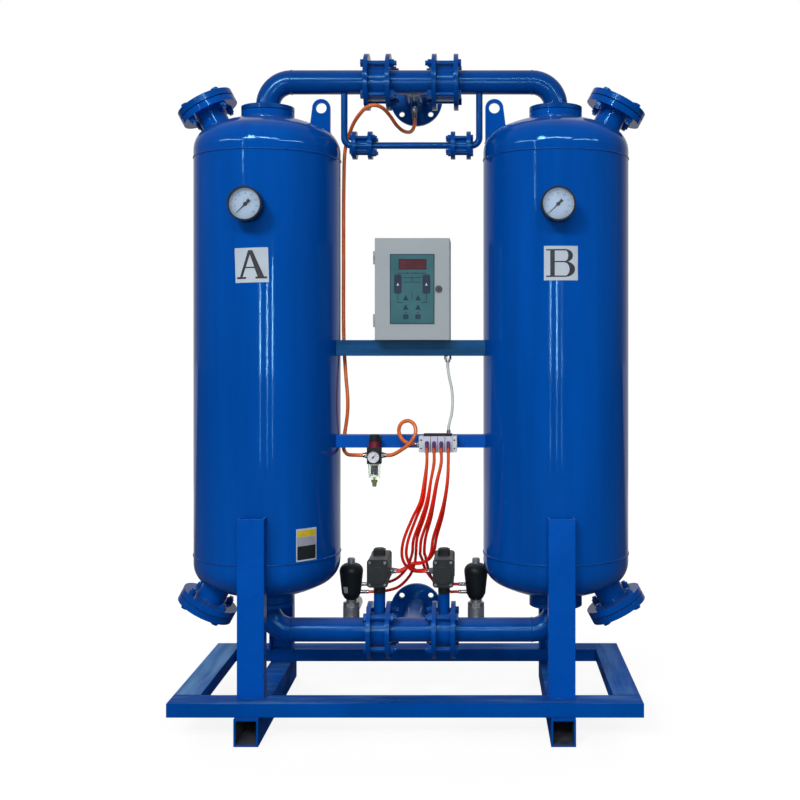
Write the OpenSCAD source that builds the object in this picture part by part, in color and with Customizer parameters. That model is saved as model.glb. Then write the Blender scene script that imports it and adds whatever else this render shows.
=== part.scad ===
// Twin-tower desiccant dryer for compressed air, in millimetres.
// X runs from tower A to tower B, Y to the back, Z up; the origin is on the floor, midway.

/* [Towers] */
// Distance between the two tower axes
tower_spacing = 920; // [900:5:960]
// Outside diameter of the shells
vessel_od = 462; // [450:1:470]
// Thickness of shells and heads
shell_t = 6; // [5:0.5:8]
// Length of each shell between its head seams
shell_len = 1250; // [1240:2:1300]
// Height of the lower head seam above the floor
seam_z = 502; // [500:1:512]
// Straight rim of each head beyond its seam
head_skirt = 24; // [20:1:28]
// Thickness of the perforated screens
screen_t = 8; // [5:1:12]
// Diameter of the holes in the screens
screen_hole_d = 22; // [12:1:28]

/* [Main pipework] */
// Outside diameter of the pipe
pipe_od = 76.1; // [72:0.1:78]
// Wall of the pipe
pipe_t = 3.6; // [2.9:0.1:5]
// Distance from a head seam to the pipe axis beyond it
pipe_rise = 250; // [248:1:256]
// Centre-line radius of the elbows
elbow_r = 76; // [70:1:80]
// Outside diameter of the pipe flanges
flange_od = 178; // [174:1:184]
// Thickness of the pipe flanges
flange_t = 14; // [12:1:16]
// Bolt circle of the pipe flanges
flange_pcd = 140; // [136:1:144]
// Thread diameter of the flange bolts
flange_bolt_d = 16; // [12:1:16]
// Diameter of the flange bolt holes
flange_hole_d = 18; // [17:0.5:19]
// Distance from the middle of a tee to its side flange faces
tee_half = 80; // [76:1:84]
// Distance from the tower plane to the rear flange faces
branch_reach = 268; // [240:1:332]
// Distance from the tower plane to the pilot air boss under the outlet branch
pilot_y = 150; // [140:1:160]

/* [Tower necks] */
// Outside diameter of the neck flanges and pads
neck_od = 168; // [160:1:174]
// Bolt circle of the neck flanges
neck_pcd = 128; // [122:1:132]
// Thickness of the pad on the vessel
pad_t = 30; // [24:1:30]
// Straight pipe between neck flange and elbow
neck_stub = 6; // [4:1:8]
// Thickness of the neck gaskets
gasket_t = 2; // [1:0.5:3]

/* [Fill and drain ports] */
// Tilt of the port axis from the vertical
port_tilt = 28; // [26:1:32]
// Distance of the port axis from the tower axis at the seam
port_offset = 104; // [95:1:110]
// Distance along the port axis from the seam to the gasket face
port_reach = 188; // [184:1:196]
// Outside diameter of the port pipe
port_pipe_od = 88.9; // [84:0.1:92]
// Wall of the port pipe
port_pipe_t = 4.5; // [3:0.5:6]
// Outside diameter of the port flanges and covers
port_flange_od = 185; // [180:1:188]
// Thickness of the port flanges
port_flange_t = 20; // [14:1:22]
// Thickness of the blind covers
port_cover_t = 20; // [12:1:22]
// Thickness of the port gaskets
port_gasket_t = 3; // [2:0.5:4]
// Bolt circle of the ports
port_pcd = 150; // [146:1:152]
// Number of bolts on each port
port_bolts = 4; // [4:4:8]
// Thread diameter of the port bolts
port_bolt_d = 14; // [12:1:16]

/* [Lifting lugs] */
// Thickness of the lug plate
lug_t = 12; // [8:1:16]
// Width of the lug at its foot
lug_w = 75; // [70:1:80]
// Distance from tower A's axis to the near edge of its lug
lug_near = 125; // [120:1:152]
// Distance from tower B's axis to the near edge of its lug
lug_near_b = 150; // [120:1:152]
// Height of the lug's top above the upper seam
lug_top = 196; // [190:1:206]
// Radius of the lug's round top
lug_r = 29; // [26:1:36]
// Diameter of the lifting hole
lug_hole_d = 34; // [28:1:38]

/* [Base frame] */
// Height of the skid tubes
skid_size = 80; // [70:1:90]
// Width of the skid tubes
skid_w = 72; // [64:1:90]
// Wall of the skid tubes
skid_t = 6; // [4:1:8]
// Length of the skid tubes
skid_len = 670; // [664:2:720]
// Width of the flat rails
rail_w = 80; // [76:1:84]
// Height of the flat rails
rail_h = 40; // [36:1:44]
// Wall of the rails
rail_t = 4; // [3:0.5:5]
// Length of the base along X
base_len = 1390; // [1340:5:1440]
// Depth of the base along Y
base_depth = 640; // [620:2:660]
// Width of the channel posts
post_w = 80; // [70:1:90]
// Distance of a post's web face from the shell
post_depth = 40; // [36:1:44]
// Thickness of the post web and flanges
post_t = 6; // [5:1:8]
// Height of the posts above the lower seam
post_lap = 146; // [120:1:180]

/* [Crossbars] */
// Side of the upper crossbar tube
upper_bar = 50; // [46:1:54]
// Height of the upper crossbar's top
upper_bar_top = 1178; // [1150:1:1200]
// Side of the lower crossbar tube
lower_bar = 40; // [38:1:44]
// Height of the lower crossbar's top
lower_bar_top = 879; // [870:1:890]
// Wall of the crossbar tubes
bar_t = 4; // [3:0.5:5]
// Distance of the crossbars' front faces before the tower plane
bar_front = 55; // [50:1:58]

/* [Purge line] */
// Outside diameter of the purge pipe
purge_od = 21.3; // [20:0.1:24]
// Wall of the purge pipe
purge_t = 2.6; // [2:0.1:3.2]
// Distance of the purge legs from the middle
purge_leg_x = 216; // [215:1:222]
// Distance from the top pipe axis down to the purge axis
purge_drop = 202; // [196:1:210]
// Centre-line radius of the purge elbows
purge_elbow_r = 26; // [15:1:26]
// Outside diameter of the purge flanges
purge_flange_od = 89; // [84:1:96]
// Thickness of the purge flanges
purge_flange_t = 14; // [10:1:15]
// Bolt circle of the purge flanges
purge_pcd = 60.3; // [60:0.1:65]
// Thread diameter of the purge bolts
purge_bolt_d = 12; // [10:1:12]
// Outside diameter of the orifice bodies
purge_body_od = 46; // [40:1:47]
// Length of the orifice bodies
purge_body_len = 36; // [34:1:37]
// Distance of the centre pipe's flange faces from the middle
purge_face_x = 139; // [137:1:140]
// Diameter of the purge orifice
orifice_d = 6; // [3:0.5:12]

/* [Check valves] */
// Length of the check valve bodies between flanges
check_len = 55; // [50:1:58]
// Outside diameter of the check valve bodies
check_od = 118; // [110:1:120]
// Diameter of the valve seat
check_seat_d = 44; // [38:1:48]
// Diameter of the check disc
check_disc_d = 56; // [52:1:60]
// Diameter of the chamber behind the seat
check_chamber_d = 80; // [76:1:84]
// Opening travel of the check disc
check_travel = 12; // [8:1:14]

/* [Butterfly valves and actuators] */
// Length of the butterfly bodies between flanges
wafer_len = 46; // [44:1:48]
// Outside diameter of the butterfly bodies
wafer_od = 110; // [104:1:116]
// Diameter of the valve neck
valve_neck_d = 37; // [34:1:40]
// Height of the neck's top above the pipe axis
valve_neck_h = 119; // [112:1:124]
// Diameter of the valve stem
stem_d = 14; // [10:1:16]
// Width of the actuator
act_w = 66; // [60:1:70]
// Height of the actuator housing
act_h = 88; // [80:1:94]
// Length of the actuator with its end caps
act_len = 156; // [130:1:160]
// Thickness of the end caps
act_cap_t = 14; // [10:1:18]
// Height of the actuator's underside above the pipe axis
act_rise = 151; // [148:1:156]
// Width of the position indicator
indicator_w = 38; // [32:1:42]
// Height of the position indicator
indicator_h = 22; // [18:1:26]

/* [Exhaust valves] */
// Distance of the exhaust valves from the middle
exhaust_x = 205; // [202:1:210]
// Distance of the exhaust valves behind the tower plane
exhaust_y = 100; // [98:1:106]
// Diameter of the exhaust actuators at their belt
exh_act_d = 78; // [72:1:80]
// Height of the exhaust actuators
exh_act_h = 118; // [116:1:124]
// Height of the actuator's foot above the pipe axis
exh_act_rise = 74; // [74:1:80]
// How much the exhaust actuators narrow towards the foot, each side
exh_taper = 8; // [4:0.5:9]
// Radius of the exhaust actuators' round top edge
exh_shoulder = 26; // [16:1:26]
// Diameter of the clear dome
dome_d = 26; // [24:1:30]
// Height of the clear dome
dome_h = 18; // [17:1:22]
// Opening travel of the exhaust plug
exhaust_travel = 12; // [8:1:12]
// Diameter of the silencers
silencer_d = 44; // [40:1:46]
// Length of the silencers
silencer_len = 110; // [90:1:140]

/* [Tower gauges] */
// Outside diameter of the gauge cases
gauge_d = 102; // [90:1:120]
// Depth of the gauge cases
gauge_depth = 38; // [36:1:44]
// Distance of the gauges below the upper seam
gauge_drop = 174; // [130:1:340]
// Sideways offset of the gauges from the tower axes
gauge_shift = -12; // [-15:1:15]
// Distance from the shell to the back of the case
gauge_standoff = 32; // [26:1:34]

/* [Control cabinet] */
// Width of the cabinet
cab_w = 232; // [226:1:240]
// Height of the cabinet
cab_h = 316; // [300:1:340]
// Depth of the cabinet with its door
cab_d = 150; // [130:1:160]
// Offset of the cabinet from the middle
cab_x = 8; // [0:1:12]
// Distance of the door's face before the tower plane
cab_front = 110; // [104:1:112]
// Thickness of the sheet
cab_t = 2; // [1.5:0.5:3]
// Depth of the door pan
door_d = 18; // [14:1:22]
// Width of the folded rim round the cabinet's mouth
rim_w = 14; // [12:1:20]
// Width of the membrane panel
panel_w = 138; // [120:1:144]
// Height of the membrane panel
panel_h = 217; // [190:1:240]
// Thickness of the membrane panel
panel_t = 1.5; // [1:0.5:3]
// Diameter of the lock barrel
lock_d = 16; // [12:1:18]
// Distance of the lock from the door's right edge
lock_inset = 34; // [32:1:36]

/* [Filter regulator] */
// Position of the regulator from the middle
reg_x = -110; // [-115:1:-105]
// Distance of the regulator before the tower plane
reg_front = 100; // [98:1:104]
// Width of the square body
reg_w = 44; // [42:1:46]
// Height of the square body
reg_h = 50; // [46:1:52]
// Distance of the ports below the lower crossbar's top
reg_drop = 59; // [57:1:62]
// Diameter of the knob
knob_d = 29.5; // [26:0.5:34]
// Height of the knob
knob_h = 21.5; // [18:0.5:26]
// Diameter of the small gauge
small_gauge_d = 41; // [38:1:44]
// Diameter of the bowl at its top
bowl_d = 41.6; // [40:0.1:42]
// Height of the bowl
bowl_h = 50; // [48:1:54]

/* [Valve manifold] */
// Position of the manifold from the middle
man_x = 87.4; // [85:0.1:90]
// Height of the manifold
man_h = 46; // [42:1:48]
// Depth of the manifold base
man_d = 25; // [24:1:26]
// Width of each end plate
end_plate_w = 15; // [12:1:18]
// Pitch of the solenoid valves
valve_pitch = 22; // [22:0.5:23]
// Depth of the solenoid valves
valve_d = 38; // [36:1:40]
// Height of the solenoid valves
valve_h = 50; // [48:1:54]

/* [Tubes] */
// Diameter of the supply and loop tubes
supply_d = 12; // [8:0.5:12]
// Diameter of the control tubes
control_d = 9.5; // [6:0.5:9.5]
// Diameter of the signal cable
cable_d = 9; // [6:0.5:9]

/* [Fits] */
// Radial clearance of turning and sliding shafts
run_gap = 0.05; // [0.02:0.01:0.1]
// Gap between faces that move past each other
move_gap = 0.3; // [0.2:0.05:0.5]

/* [Hidden] */
$fn = 96;
tower_x = tower_spacing / 2;
vessel_r = vessel_od / 2;
crown_r = 0.9 * vessel_od;
knuckle_r = 0.17 * vessel_od;
head_h = crown_r - sqrt(pow(crown_r - knuckle_r, 2) - pow(vessel_r - knuckle_r, 2));
head_top = head_h + head_skirt;
top_seam_z = seam_z + shell_len;
top_pipe_z = top_seam_z + pipe_rise;
low_pipe_z = seam_z - pipe_rise;
pipe_id = pipe_od - 2 * pipe_t;
neck_reach = elbow_r + neck_stub + flange_t;
pad_face = pipe_rise - neck_reach - gasket_t;
base_top = skid_size + rail_h;
hex_ratio = 1.5;
head_ratio = 0.62;
nut_ratio = 0.8;
check_face_x = tee_half + check_len;
wafer_face_x = tee_half + wafer_len;
purge_z = top_pipe_z - purge_drop;
purge_id = purge_od - 2 * purge_t;
purge_outer_x = purge_face_x + purge_body_len;
valve_x = tee_half + wafer_len / 2;
act_z = low_pipe_z + act_rise;
exh_foot_z = low_pipe_z + exh_act_rise;
exh_seat_z = low_pipe_z + 16;
exh_out_z = low_pipe_z + 32;
exh_stem_d = 10;
exh_boss_y = 60;
exh_stub_d = 40;
exh_rear_y = exhaust_y + exh_stub_d;
gauge_rise = shell_len - gauge_drop;
gauge_z = seam_z + gauge_rise;
cab_left = cab_x - cab_w / 2;
cab_right = cab_x + cab_w / 2;
cab_z = upper_bar_top;
door_back = cab_front - door_d;
door_gap = 0.5;
hinge_r = 3.5;
hinge_pin_d = 4;
hinge_x = cab_left - hinge_r;
hinge_y = -door_back + door_gap / 2;
hinge_h = 20;
hinge_inset = 40;
lock_x = cab_right - lock_inset;
lock_z = cab_z + cab_h / 2;
panel_z = cab_z + cab_h / 2;
reg_z = lower_bar_top - reg_drop;
reg_top = reg_z + reg_h / 2;
reg_foot = reg_z - reg_h / 2;
bonnet_h = 17;
knob_z = reg_top + bonnet_h + move_gap;
small_gauge_z = reg_z - 2;
small_gauge_depth = 20;
small_gauge_y = -reg_front - reg_w / 2 - small_gauge_depth;
small_dial_depth = 5;
drain_z = reg_foot - bowl_h;
man_y = -bar_front - man_d;
man_z = lower_bar_top - 1 - man_h;
man_w = 4 * valve_pitch + 2 * end_plate_w;
valve_y = man_y - valve_d;
valve_z = man_z - 2;
port_high = valve_z + 30;
port_low = valve_z + 12;
port_high_reach = 18;
port_low_reach = 7;
fitting_d = 12;
supply_fitting_d = 15;
fitting_len = 14;
act_port_z = act_z + 37;
act_port_gap = 24;
act_fitting_len = 22;
exh_port_low = 24;
exh_port_step = 25;
exh_port_zs = [exh_foot_z + exh_port_low, exh_foot_z + exh_port_low + exh_port_step];
exh_fitting_len = 18;
pilot_boss = pipe_od / 2 + 10;
pilot_len = 35;
gland_x = 116;
gland_y = -bar_front + upper_bar / 2;
gland_len = 20;
plug_x = man_x + 1.5 * valve_pitch;
plug_len = 10;

paint = [0.02, 0.27, 0.62];
dark = [0.10, 0.11, 0.12];
steel = [0.62, 0.62, 0.63];
grey = [0.72, 0.73, 0.75];
white = [0.93, 0.93, 0.93];
clear = [0.85, 0.90, 0.90, 0.4];
orange = [0.72, 0.33, 0.10];
red = [0.86, 0.12, 0.06];

// Routes of the free tubes: round numbers, chosen by eye
supply_route = [
  [0, 150, 1918.9], [0, 150, 1895], [-10, 122, 1868], [-30, 75, 1860], [-50, 30, 1870],
  [-68, -10, 1892], [-88, -50, 1909], [-113, -71, 1914], [-139, -67, 1907], [-163, -44, 1890],
  [-185, -10, 1869], [-201, 20, 1843], [-213, 30, 1812], [-219, 32, 1770], [-221, 32, 1700],
  [-222, 32, 1600], [-222, 32, 1500], [-222, 32, 1400], [-222, 30, 1300], [-221, 26, 1210],
  [-218, 18, 1140], [-211, 4, 1060], [-205, -2, 995], [-206, 2, 945], [-213, 8, 895],
  [-219, 8, 857], [-217, -6, 831], [-206, -36, 820], [-194, -64, 818], [-181, -84, 819],
  [-167, -96, 820], [-156, -100, 820], [-146, -100, 820]];
loop_route = [
  [-74, -100, 820], [-60, -100, 820], [-44, -103, 826], [-22, -110, 840], [-2, -116, 855],
  [13, -118, 876], [19, -113, 898], [12, -105, 918], [-6, -97, 927], [-26, -91, 919],
  [-35, -88, 899], [-30, -88, 877], [-16, -90, 861], [2, -92, 854], [14.4, -92, 854]];
cable_route = [
  [116, -30, 1108], [116, -30, 1090], [121, -39, 1060], [129, -56, 1024], [132, -72, 986],
  [130, -85, 950], [124, -94, 924], [120.4, -97, 908], [120.4, -97, 898]];
// Inlet valve B, from the first solenoid valve
inlet_b_routes = [
  [[54.4, -136, 846], [54.4, -136, 800], [46, -136, 740], [34, -130, 680], [8, -118, 625],
   [-18, -102, 560], [-26, -84, 510], [-18, -62, 474], [4, -36, 449], [24, -17, 441],
   [38, -12, 440], [48, -12, 440]],
  [[54.4, -125, 828], [54.4, -125, 796], [50, -124, 740], [42, -118, 680], [20, -106, 625],
   [-4, -90, 560], [-13, -72, 512], [-7, -48, 476], [5, -20, 453], [13, -4, 443],
   [25, 7, 440], [37, 12, 440], [48, 12, 440]]];
// Exhaust valve A, from the second solenoid valve
exhaust_a_routes = [
  [[76.4, -136, 846], [76.4, -136, 800], [66, -136, 740], [54, -130, 680], [36, -116, 625],
   [12, -92, 560], [6, -58, 516], [2, -20, 498], [-4, 16, 478], [-18, 50, 440],
   [-54, 80, 398], [-102, 97, 377], [-132, 100, 375], [-148, 100, 375]],
  [[76.4, -125, 828], [76.4, -125, 796], [66, -123, 740], [58, -117, 680], [44, -103, 625],
   [22, -77, 560], [16, -42, 508], [13, -6, 488], [7, 28, 458], [-10, 60, 412],
   [-50, 88, 368], [-104, 99, 351], [-132, 100, 350], [-148, 100, 350]]];
// Exhaust valve B, from the third solenoid valve
exhaust_b_routes = [
  [[98.4, -136, 846], [98.4, -136, 800], [84, -135, 740], [72, -129, 680], [58, -115, 625],
   [36, -90, 560], [30, -56, 514], [28, -20, 496], [32, 16, 474], [42, 52, 432],
   [70, 88, 388], [112, 99, 376], [136, 100, 375], [148, 100, 375]],
  [[98.4, -125, 828], [98.4, -125, 796], [86, -121, 740], [76, -114, 680], [66, -100, 625],
   [48, -74, 560], [42, -40, 508], [44, -4, 486], [48, 30, 452], [60, 63, 404],
   [88, 90, 366], [118, 99, 351], [136, 100, 350], [148, 100, 350]]];
// Inlet valve A, from the fourth solenoid valve
inlet_a_routes = [
  [[120.4, -136, 846], [120.4, -136, 800], [117, -134, 740], [107, -126, 680], [92, -108, 625],
   [72, -80, 560], [64, -56, 510], [50, -38, 482], [28, -22, 468], [6, -12, 464],
   [-10, -11, 456], [-24, -12, 446], [-37, -12, 440], [-48, -12, 440]],
  [[120.4, -125, 828], [120.4, -125, 796], [118, -121, 740], [110, -112, 680], [100, -94, 625],
   [82, -64, 560], [73, -38, 512], [58, -20, 483], [34, -4, 468], [8, 8, 463],
   [-9, 11, 456], [-24, 12, 446], [-37, 12, 440], [-48, 12, 440]]];
control_routes = concat(inlet_b_routes, exhaust_a_routes, exhaust_b_routes, inlet_a_routes);

// Placing helpers
module side(s) {
  if (s < 0) children();
  else mirror([1, 0, 0]) children();
}
module both_sides() {
  for (s = [-1, 1]) side(s) children();
}
module along_x() {
  rotate([0, 90, 0]) children();
}
module along_y() {
  rotate([-90, 0, 0]) children();
}
module facing_front() {
  rotate([90, 0, 0]) children();
}
module on_circle(n, pcd, start = 0) {
  for (i = [0:n - 1]) rotate([0, 0, start + i * 360 / n]) translate([pcd / 2, 0, 0]) children();
}

// Common shapes
module rounded_rect(w, h, r) {
  square([w - 2 * r, h], center = true);
  square([w, h - 2 * r], center = true);
  for (x = [-1, 1], y = [-1, 1]) translate([x * (w / 2 - r), y * (h / 2 - r)]) circle(r);
}
module hexagon(af, h) {
  cylinder(d = af / cos(30), h = h, $fn = 6);
}
module bolt(d, grip) {
  translate([0, 0, -head_ratio * d]) hexagon(hex_ratio * d, head_ratio * d);
  cylinder(d = d, h = grip + (nut_ratio + 0.5) * d);
  translate([0, 0, grip]) hexagon(hex_ratio * d, nut_ratio * d);
}
sunk_d = hex_ratio * flange_bolt_d;
sunk_h = head_ratio * flange_bolt_d;
module sunk_screw(length) {
  cylinder(d = sunk_d, h = sunk_h);
  cylinder(d = flange_bolt_d, h = length);
}
module flange(od, t, pcd, n, hole_d) {
  difference() {
    cylinder(d = od, h = t);
    translate([0, 0, -1]) on_circle(n, pcd, 180 / n) cylinder(d = hole_d, h = t + 2);
  }
}
module pipe_flange() {
  flange(flange_od, flange_t, flange_pcd, 4, flange_hole_d);
}
module square_tube(w, d, t, length) {
  difference() {
    translate([-w / 2, -d / 2, 0]) cube([w, d, length]);
    translate([-w / 2 + t, -d / 2 + t, -1]) cube([w - 2 * t, d - 2 * t, length + 2]);
  }
}

// Smooth sweep of a round tube along a route
function unit(v) = v / norm(v);
function spline(a, b, c, d, t) =
  0.5 * (2 * b + (c - a) * t + (2 * a - 5 * b + 4 * c - d) * t * t + (3 * b - a - 3 * c + d) * t * t * t);
function smooth(p, steps) = [
  for (i = [0:len(p) - 2], k = [0:steps - 1])
    spline(p[max(i - 1, 0)], p[i], p[i + 1], p[min(i + 2, len(p) - 1)], k / steps),
  p[len(p) - 1]];
function directions(c, p) = [
  for (i = [0:len(c) - 1])
    i == 0 ? unit(p[1] - p[0])
    : i == len(c) - 1 ? unit(p[len(p) - 1] - p[len(p) - 2])
    : unit(c[i + 1] - c[i - 1])];
function square_to(n, t) = unit(n - (n * t) * t);
function normals(t) = [
  for (i = 0, n = square_to([0.6, 0.8, 0.1], t[0]);
       i < len(t);
       i = i + 1, n = i < len(t) ? square_to(n, t[i]) : n) n];
module tube(route, d, steps = 2, sides = 8) {
  c = smooth(route, steps);
  t = directions(c, route);
  n = normals(t);
  last = len(c) - 1;
  ring = [for (k = [0:sides - 1]) k];
  points = [
    for (i = [0:last], k = ring)
      c[i] + d / 2 * (n[i] * cos(360 * k / sides) + cross(t[i], n[i]) * sin(360 * k / sides))];
  walls = [
    for (i = [0:last - 1], k = ring, half = [0, 1])
      let (a = i * sides + k, b = i * sides + (k + 1) % sides)
        half == 0 ? [a, a + sides, b] : [b, a + sides, b + sides]];
  start_cap = [for (k = [1:sides - 2]) [0, k, k + 1]];
  end_cap = [for (k = [1:sides - 2]) [last * sides, last * sides + k + 1, last * sides + k]];
  polyhedron(points = points, faces = concat(walls, start_cap, end_cap), convexity = 8);
}

// Base frame
module skid_tubes() {
  color(paint) both_sides()
    translate([-tower_x, -skid_len / 2, skid_size / 2]) along_y()
      square_tube(skid_w, skid_size, skid_t, skid_len);
}
module base_rails() {
  rail_y = base_depth / 2 - rail_w / 2;
  side_x = base_len / 2 - rail_w / 2;
  color(paint) translate([0, 0, skid_size + rail_h / 2]) {
    translate([-base_len / 2, -rail_y, 0]) along_x() square_tube(rail_h, rail_w, rail_t, base_len);
    translate([-base_len / 2 + rail_w, rail_y, 0]) along_x()
      square_tube(rail_h, rail_w, rail_t, base_len - 2 * rail_w);
    both_sides() translate([-side_x, -base_depth / 2 + rail_w, 0]) along_y()
      square_tube(rail_w, rail_h, rail_t, base_depth - rail_w);
  }
}
module post() {
  reach = vessel_r + post_depth;
  length = seam_z + post_lap - base_top;
  difference() {
    translate([-tower_x - post_w / 2, -reach, base_top]) cube([post_w, post_depth + vessel_r / 4, length]);
    translate([-tower_x - post_w / 2 + post_t, -reach + post_t, base_top - 1])
      cube([post_w - 2 * post_t, post_depth + vessel_r, length + 2]);
    translate([-tower_x, 0, base_top - 1]) cylinder(r = vessel_r, h = length + 2);
  }
}
module vessel_posts() {
  color(paint) both_sides() {
    post();
    mirror([0, 1, 0]) post();
  }
}

// Crossbars, coped to the shells
module crossbar(size, top_z) {
  difference() {
    translate([-tower_x, -bar_front + size / 2, top_z - size / 2]) along_x()
      square_tube(size, size, bar_t, tower_spacing);
    both_sides() translate([-tower_x, 0, top_z - 2 * size]) cylinder(r = vessel_r, h = 3 * size);
  }
}
module upper_crossbar() {
  color(paint) crossbar(upper_bar, upper_bar_top);
}
module lower_crossbar() {
  color(paint) crossbar(lower_bar, lower_bar_top);
}

// Towers: drawn for tower A, with its lower seam at height 0
module two_ends() {
  translate([0, 0, shell_len]) children();
  mirror([0, 0, 1]) children();
}
module head_outline(inset) {
  knuckle = [vessel_r - knuckle_r, 0];
  crown = [0, head_h - crown_r];
  way = unit(knuckle - crown);
  intersection() {
    translate(crown) circle(r = crown_r - inset);
    polygon([[0, 0], knuckle, knuckle + way * crown_r, [0, crown_r]]);
  }
  intersection() {
    translate(knuckle) circle(r = knuckle_r - inset);
    square(vessel_r);
  }
}
module vessel_volume(inset) {
  translate([0, 0, -head_skirt]) cylinder(r = vessel_r - inset, h = shell_len + 2 * head_skirt);
  two_ends() translate([0, 0, head_skirt]) rotate_extrude() head_outline(inset);
}
module on_port() {
  translate([-port_offset, 0, 0]) rotate([0, -port_tilt, 0]) children();
}
module neck_nozzle() {
  translate([0, 0, head_top - 3 * shell_t]) cylinder(d = pipe_od, h = pad_face - head_top + 3 * shell_t);
  translate([0, 0, pad_face - pad_t]) cylinder(d = neck_od, h = pad_t);
}
module neck_cuts() {
  cylinder(d = pipe_id, h = pad_face + 1);
  on_circle(4, neck_pcd, 45) translate([0, 0, pad_face - pad_t / 2])
    cylinder(d = flange_bolt_d + 2 * run_gap, h = pad_t);
}
module port_nozzle() {
  on_port() {
    cylinder(d = port_pipe_od, h = port_reach);
    translate([0, 0, port_reach - port_flange_t])
      flange(port_flange_od, port_flange_t, port_pcd, port_bolts, port_bolt_d + 2);
  }
}
module port_cuts() {
  on_port() cylinder(d = port_pipe_od - 2 * port_pipe_t, h = port_reach + 1);
}
module lug(near) {
  eye = [near + lug_w - lug_r, lug_top - lug_r];
  foot = head_skirt + head_h / 10;
  translate([0, lug_t / 2, shell_len]) facing_front() linear_extrude(lug_t) difference() {
    union() {
      polygon([[near, foot], [near + lug_w, foot], eye + [lug_r, 0], eye - [lug_r, 0]]);
      translate(eye) circle(lug_r);
    }
    translate(eye) circle(d = lug_hole_d);
  }
}
gauge_boss_d = 30;
gauge_boss_len = 20;
gauge_stem_d = 14;
module vessel(near, shift) {
  translate([-tower_x, 0, seam_z]) difference() {
    union() {
      vessel_volume(0);
      two_ends() {
        neck_nozzle();
        port_nozzle();
      }
      lug(near);
      translate([shift, -vessel_r + shell_t / 2, gauge_rise]) facing_front()
        cylinder(d = gauge_boss_d, h = gauge_boss_len + shell_t / 2);
    }
    vessel_volume(shell_t);
    two_ends() {
      neck_cuts();
      port_cuts();
    }
    translate([shift, -vessel_r + 2 * shell_t, gauge_rise]) facing_front()
      cylinder(d = gauge_stem_d + 2 * run_gap, h = 2 * shell_t + gauge_boss_len + 1);
  }
}
module vessel_a() {
  color(paint) side(-1) vessel(lug_near, gauge_shift);
}
module vessel_b() {
  color(paint) side(1) vessel(lug_near_b, -gauge_shift);
}
module all_ports() {
  both_sides() translate([-tower_x, 0, seam_z]) two_ends() on_port() children();
}
module port_covers() {
  color(paint) all_ports() translate([0, 0, port_reach + port_gasket_t])
    flange(port_flange_od, port_cover_t, port_pcd, port_bolts, port_bolt_d + 2);
}
module ring_gasket(od, id, t) {
  difference() {
    cylinder(d = od, h = t);
    translate([0, 0, -1]) cylinder(d = id, h = t + 2);
  }
}
module flange_gaskets() {
  color(dark) {
    all_ports() translate([0, 0, port_reach])
      ring_gasket(port_pcd - port_bolt_d - 2, port_pipe_od, port_gasket_t);
    both_sides() translate([-tower_x, 0, seam_z]) two_ends() translate([0, 0, pad_face])
      ring_gasket(neck_pcd - flange_bolt_d - 2, pipe_od, gasket_t);
  }
}
module port_bolts() {
  grip = port_flange_t + port_gasket_t + port_cover_t;
  color(paint) all_ports() translate([0, 0, port_reach + port_gasket_t + port_cover_t])
    mirror([0, 0, 1]) on_circle(port_bolts, port_pcd, 180 / port_bolts) bolt(port_bolt_d, grip);
}

// Filling of the towers
module desiccant_beds() {
  color(white) both_sides() translate([-tower_x, 0, seam_z + screen_t])
    cylinder(r = vessel_r - shell_t - move_gap, h = shell_len - 2 * screen_t);
}
module bed_screens() {
  ring_step = 2.2 * screen_hole_d;
  screen_r = vessel_r - shell_t - run_gap;
  color(steel) both_sides() translate([-tower_x, 0, seam_z])
    for (z = [0, shell_len - screen_t]) translate([0, 0, z]) difference() {
      cylinder(r = screen_r, h = screen_t);
      for (ring = [1:3]) translate([0, 0, -1])
        on_circle(6 * ring, 2 * ring * ring_step) cylinder(d = screen_hole_d, h = screen_t + 2);
    }
}

// Tower gauges, drawn with their axis along Z, the dial upwards
gauge_wall = 3;
bezel_t = 4;
bezel_w = 5;
lens_t = 3;
dial_t = 1.5;
dial_h = gauge_depth - bezel_t - lens_t - 12;
pointer_d = 4;
module at_gauge(s) {
  translate([s * tower_x + gauge_shift, -vessel_r - gauge_standoff, gauge_z]) facing_front() children();
}
module both_gauges() {
  for (s = [-1, 1]) at_gauge(s) children();
}
module gauge_cases() {
  color(dark) both_gauges() {
    difference() {
      cylinder(d = gauge_d, h = gauge_depth);
      translate([0, 0, gauge_wall])
        cylinder(d = gauge_d - 2 * gauge_wall, h = gauge_depth - gauge_wall - bezel_t);
      translate([0, 0, gauge_wall]) cylinder(d = gauge_d - 2 * bezel_w, h = gauge_depth);
    }
    translate([0, 0, gauge_boss_len - gauge_standoff]) hexagon(22, gauge_standoff - gauge_boss_len);
    translate([0, 0, -gauge_standoff]) cylinder(d = gauge_stem_d, h = gauge_standoff);
    difference() {
      translate([0, 0, gauge_wall]) cylinder(d = 6 * pointer_d, h = dial_h - gauge_wall);
      translate([0, 0, gauge_wall]) cylinder(d = pointer_d + 2 * run_gap, h = dial_h);
    }
  }
}
module gauge_dials() {
  color(white) both_gauges() translate([0, 0, dial_h]) difference() {
    cylinder(d = gauge_d - 2 * gauge_wall - 2 * run_gap, h = dial_t);
    translate([0, 0, -1]) cylinder(d = pointer_d + 1, h = dial_t + 2);
  }
}
module gauge_lenses() {
  color(clear) both_gauges() translate([0, 0, gauge_depth - bezel_t - lens_t])
    cylinder(d = gauge_d - 2 * gauge_wall - 2 * run_gap, h = lens_t);
}
module pointer_shape(shaft_d, length, t) {
  tail = 0.42 * length;
  cylinder(d = 3 * shaft_d, h = t);
  rotate([0, 0, 225]) linear_extrude(t)
    polygon([[0, -shaft_d * 0.6], [length, -shaft_d * 0.1], [length, shaft_d * 0.1], [0, shaft_d * 0.6],
      [-tail, shaft_d * 1.3], [-tail, -shaft_d * 1.3]]);
}
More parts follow.
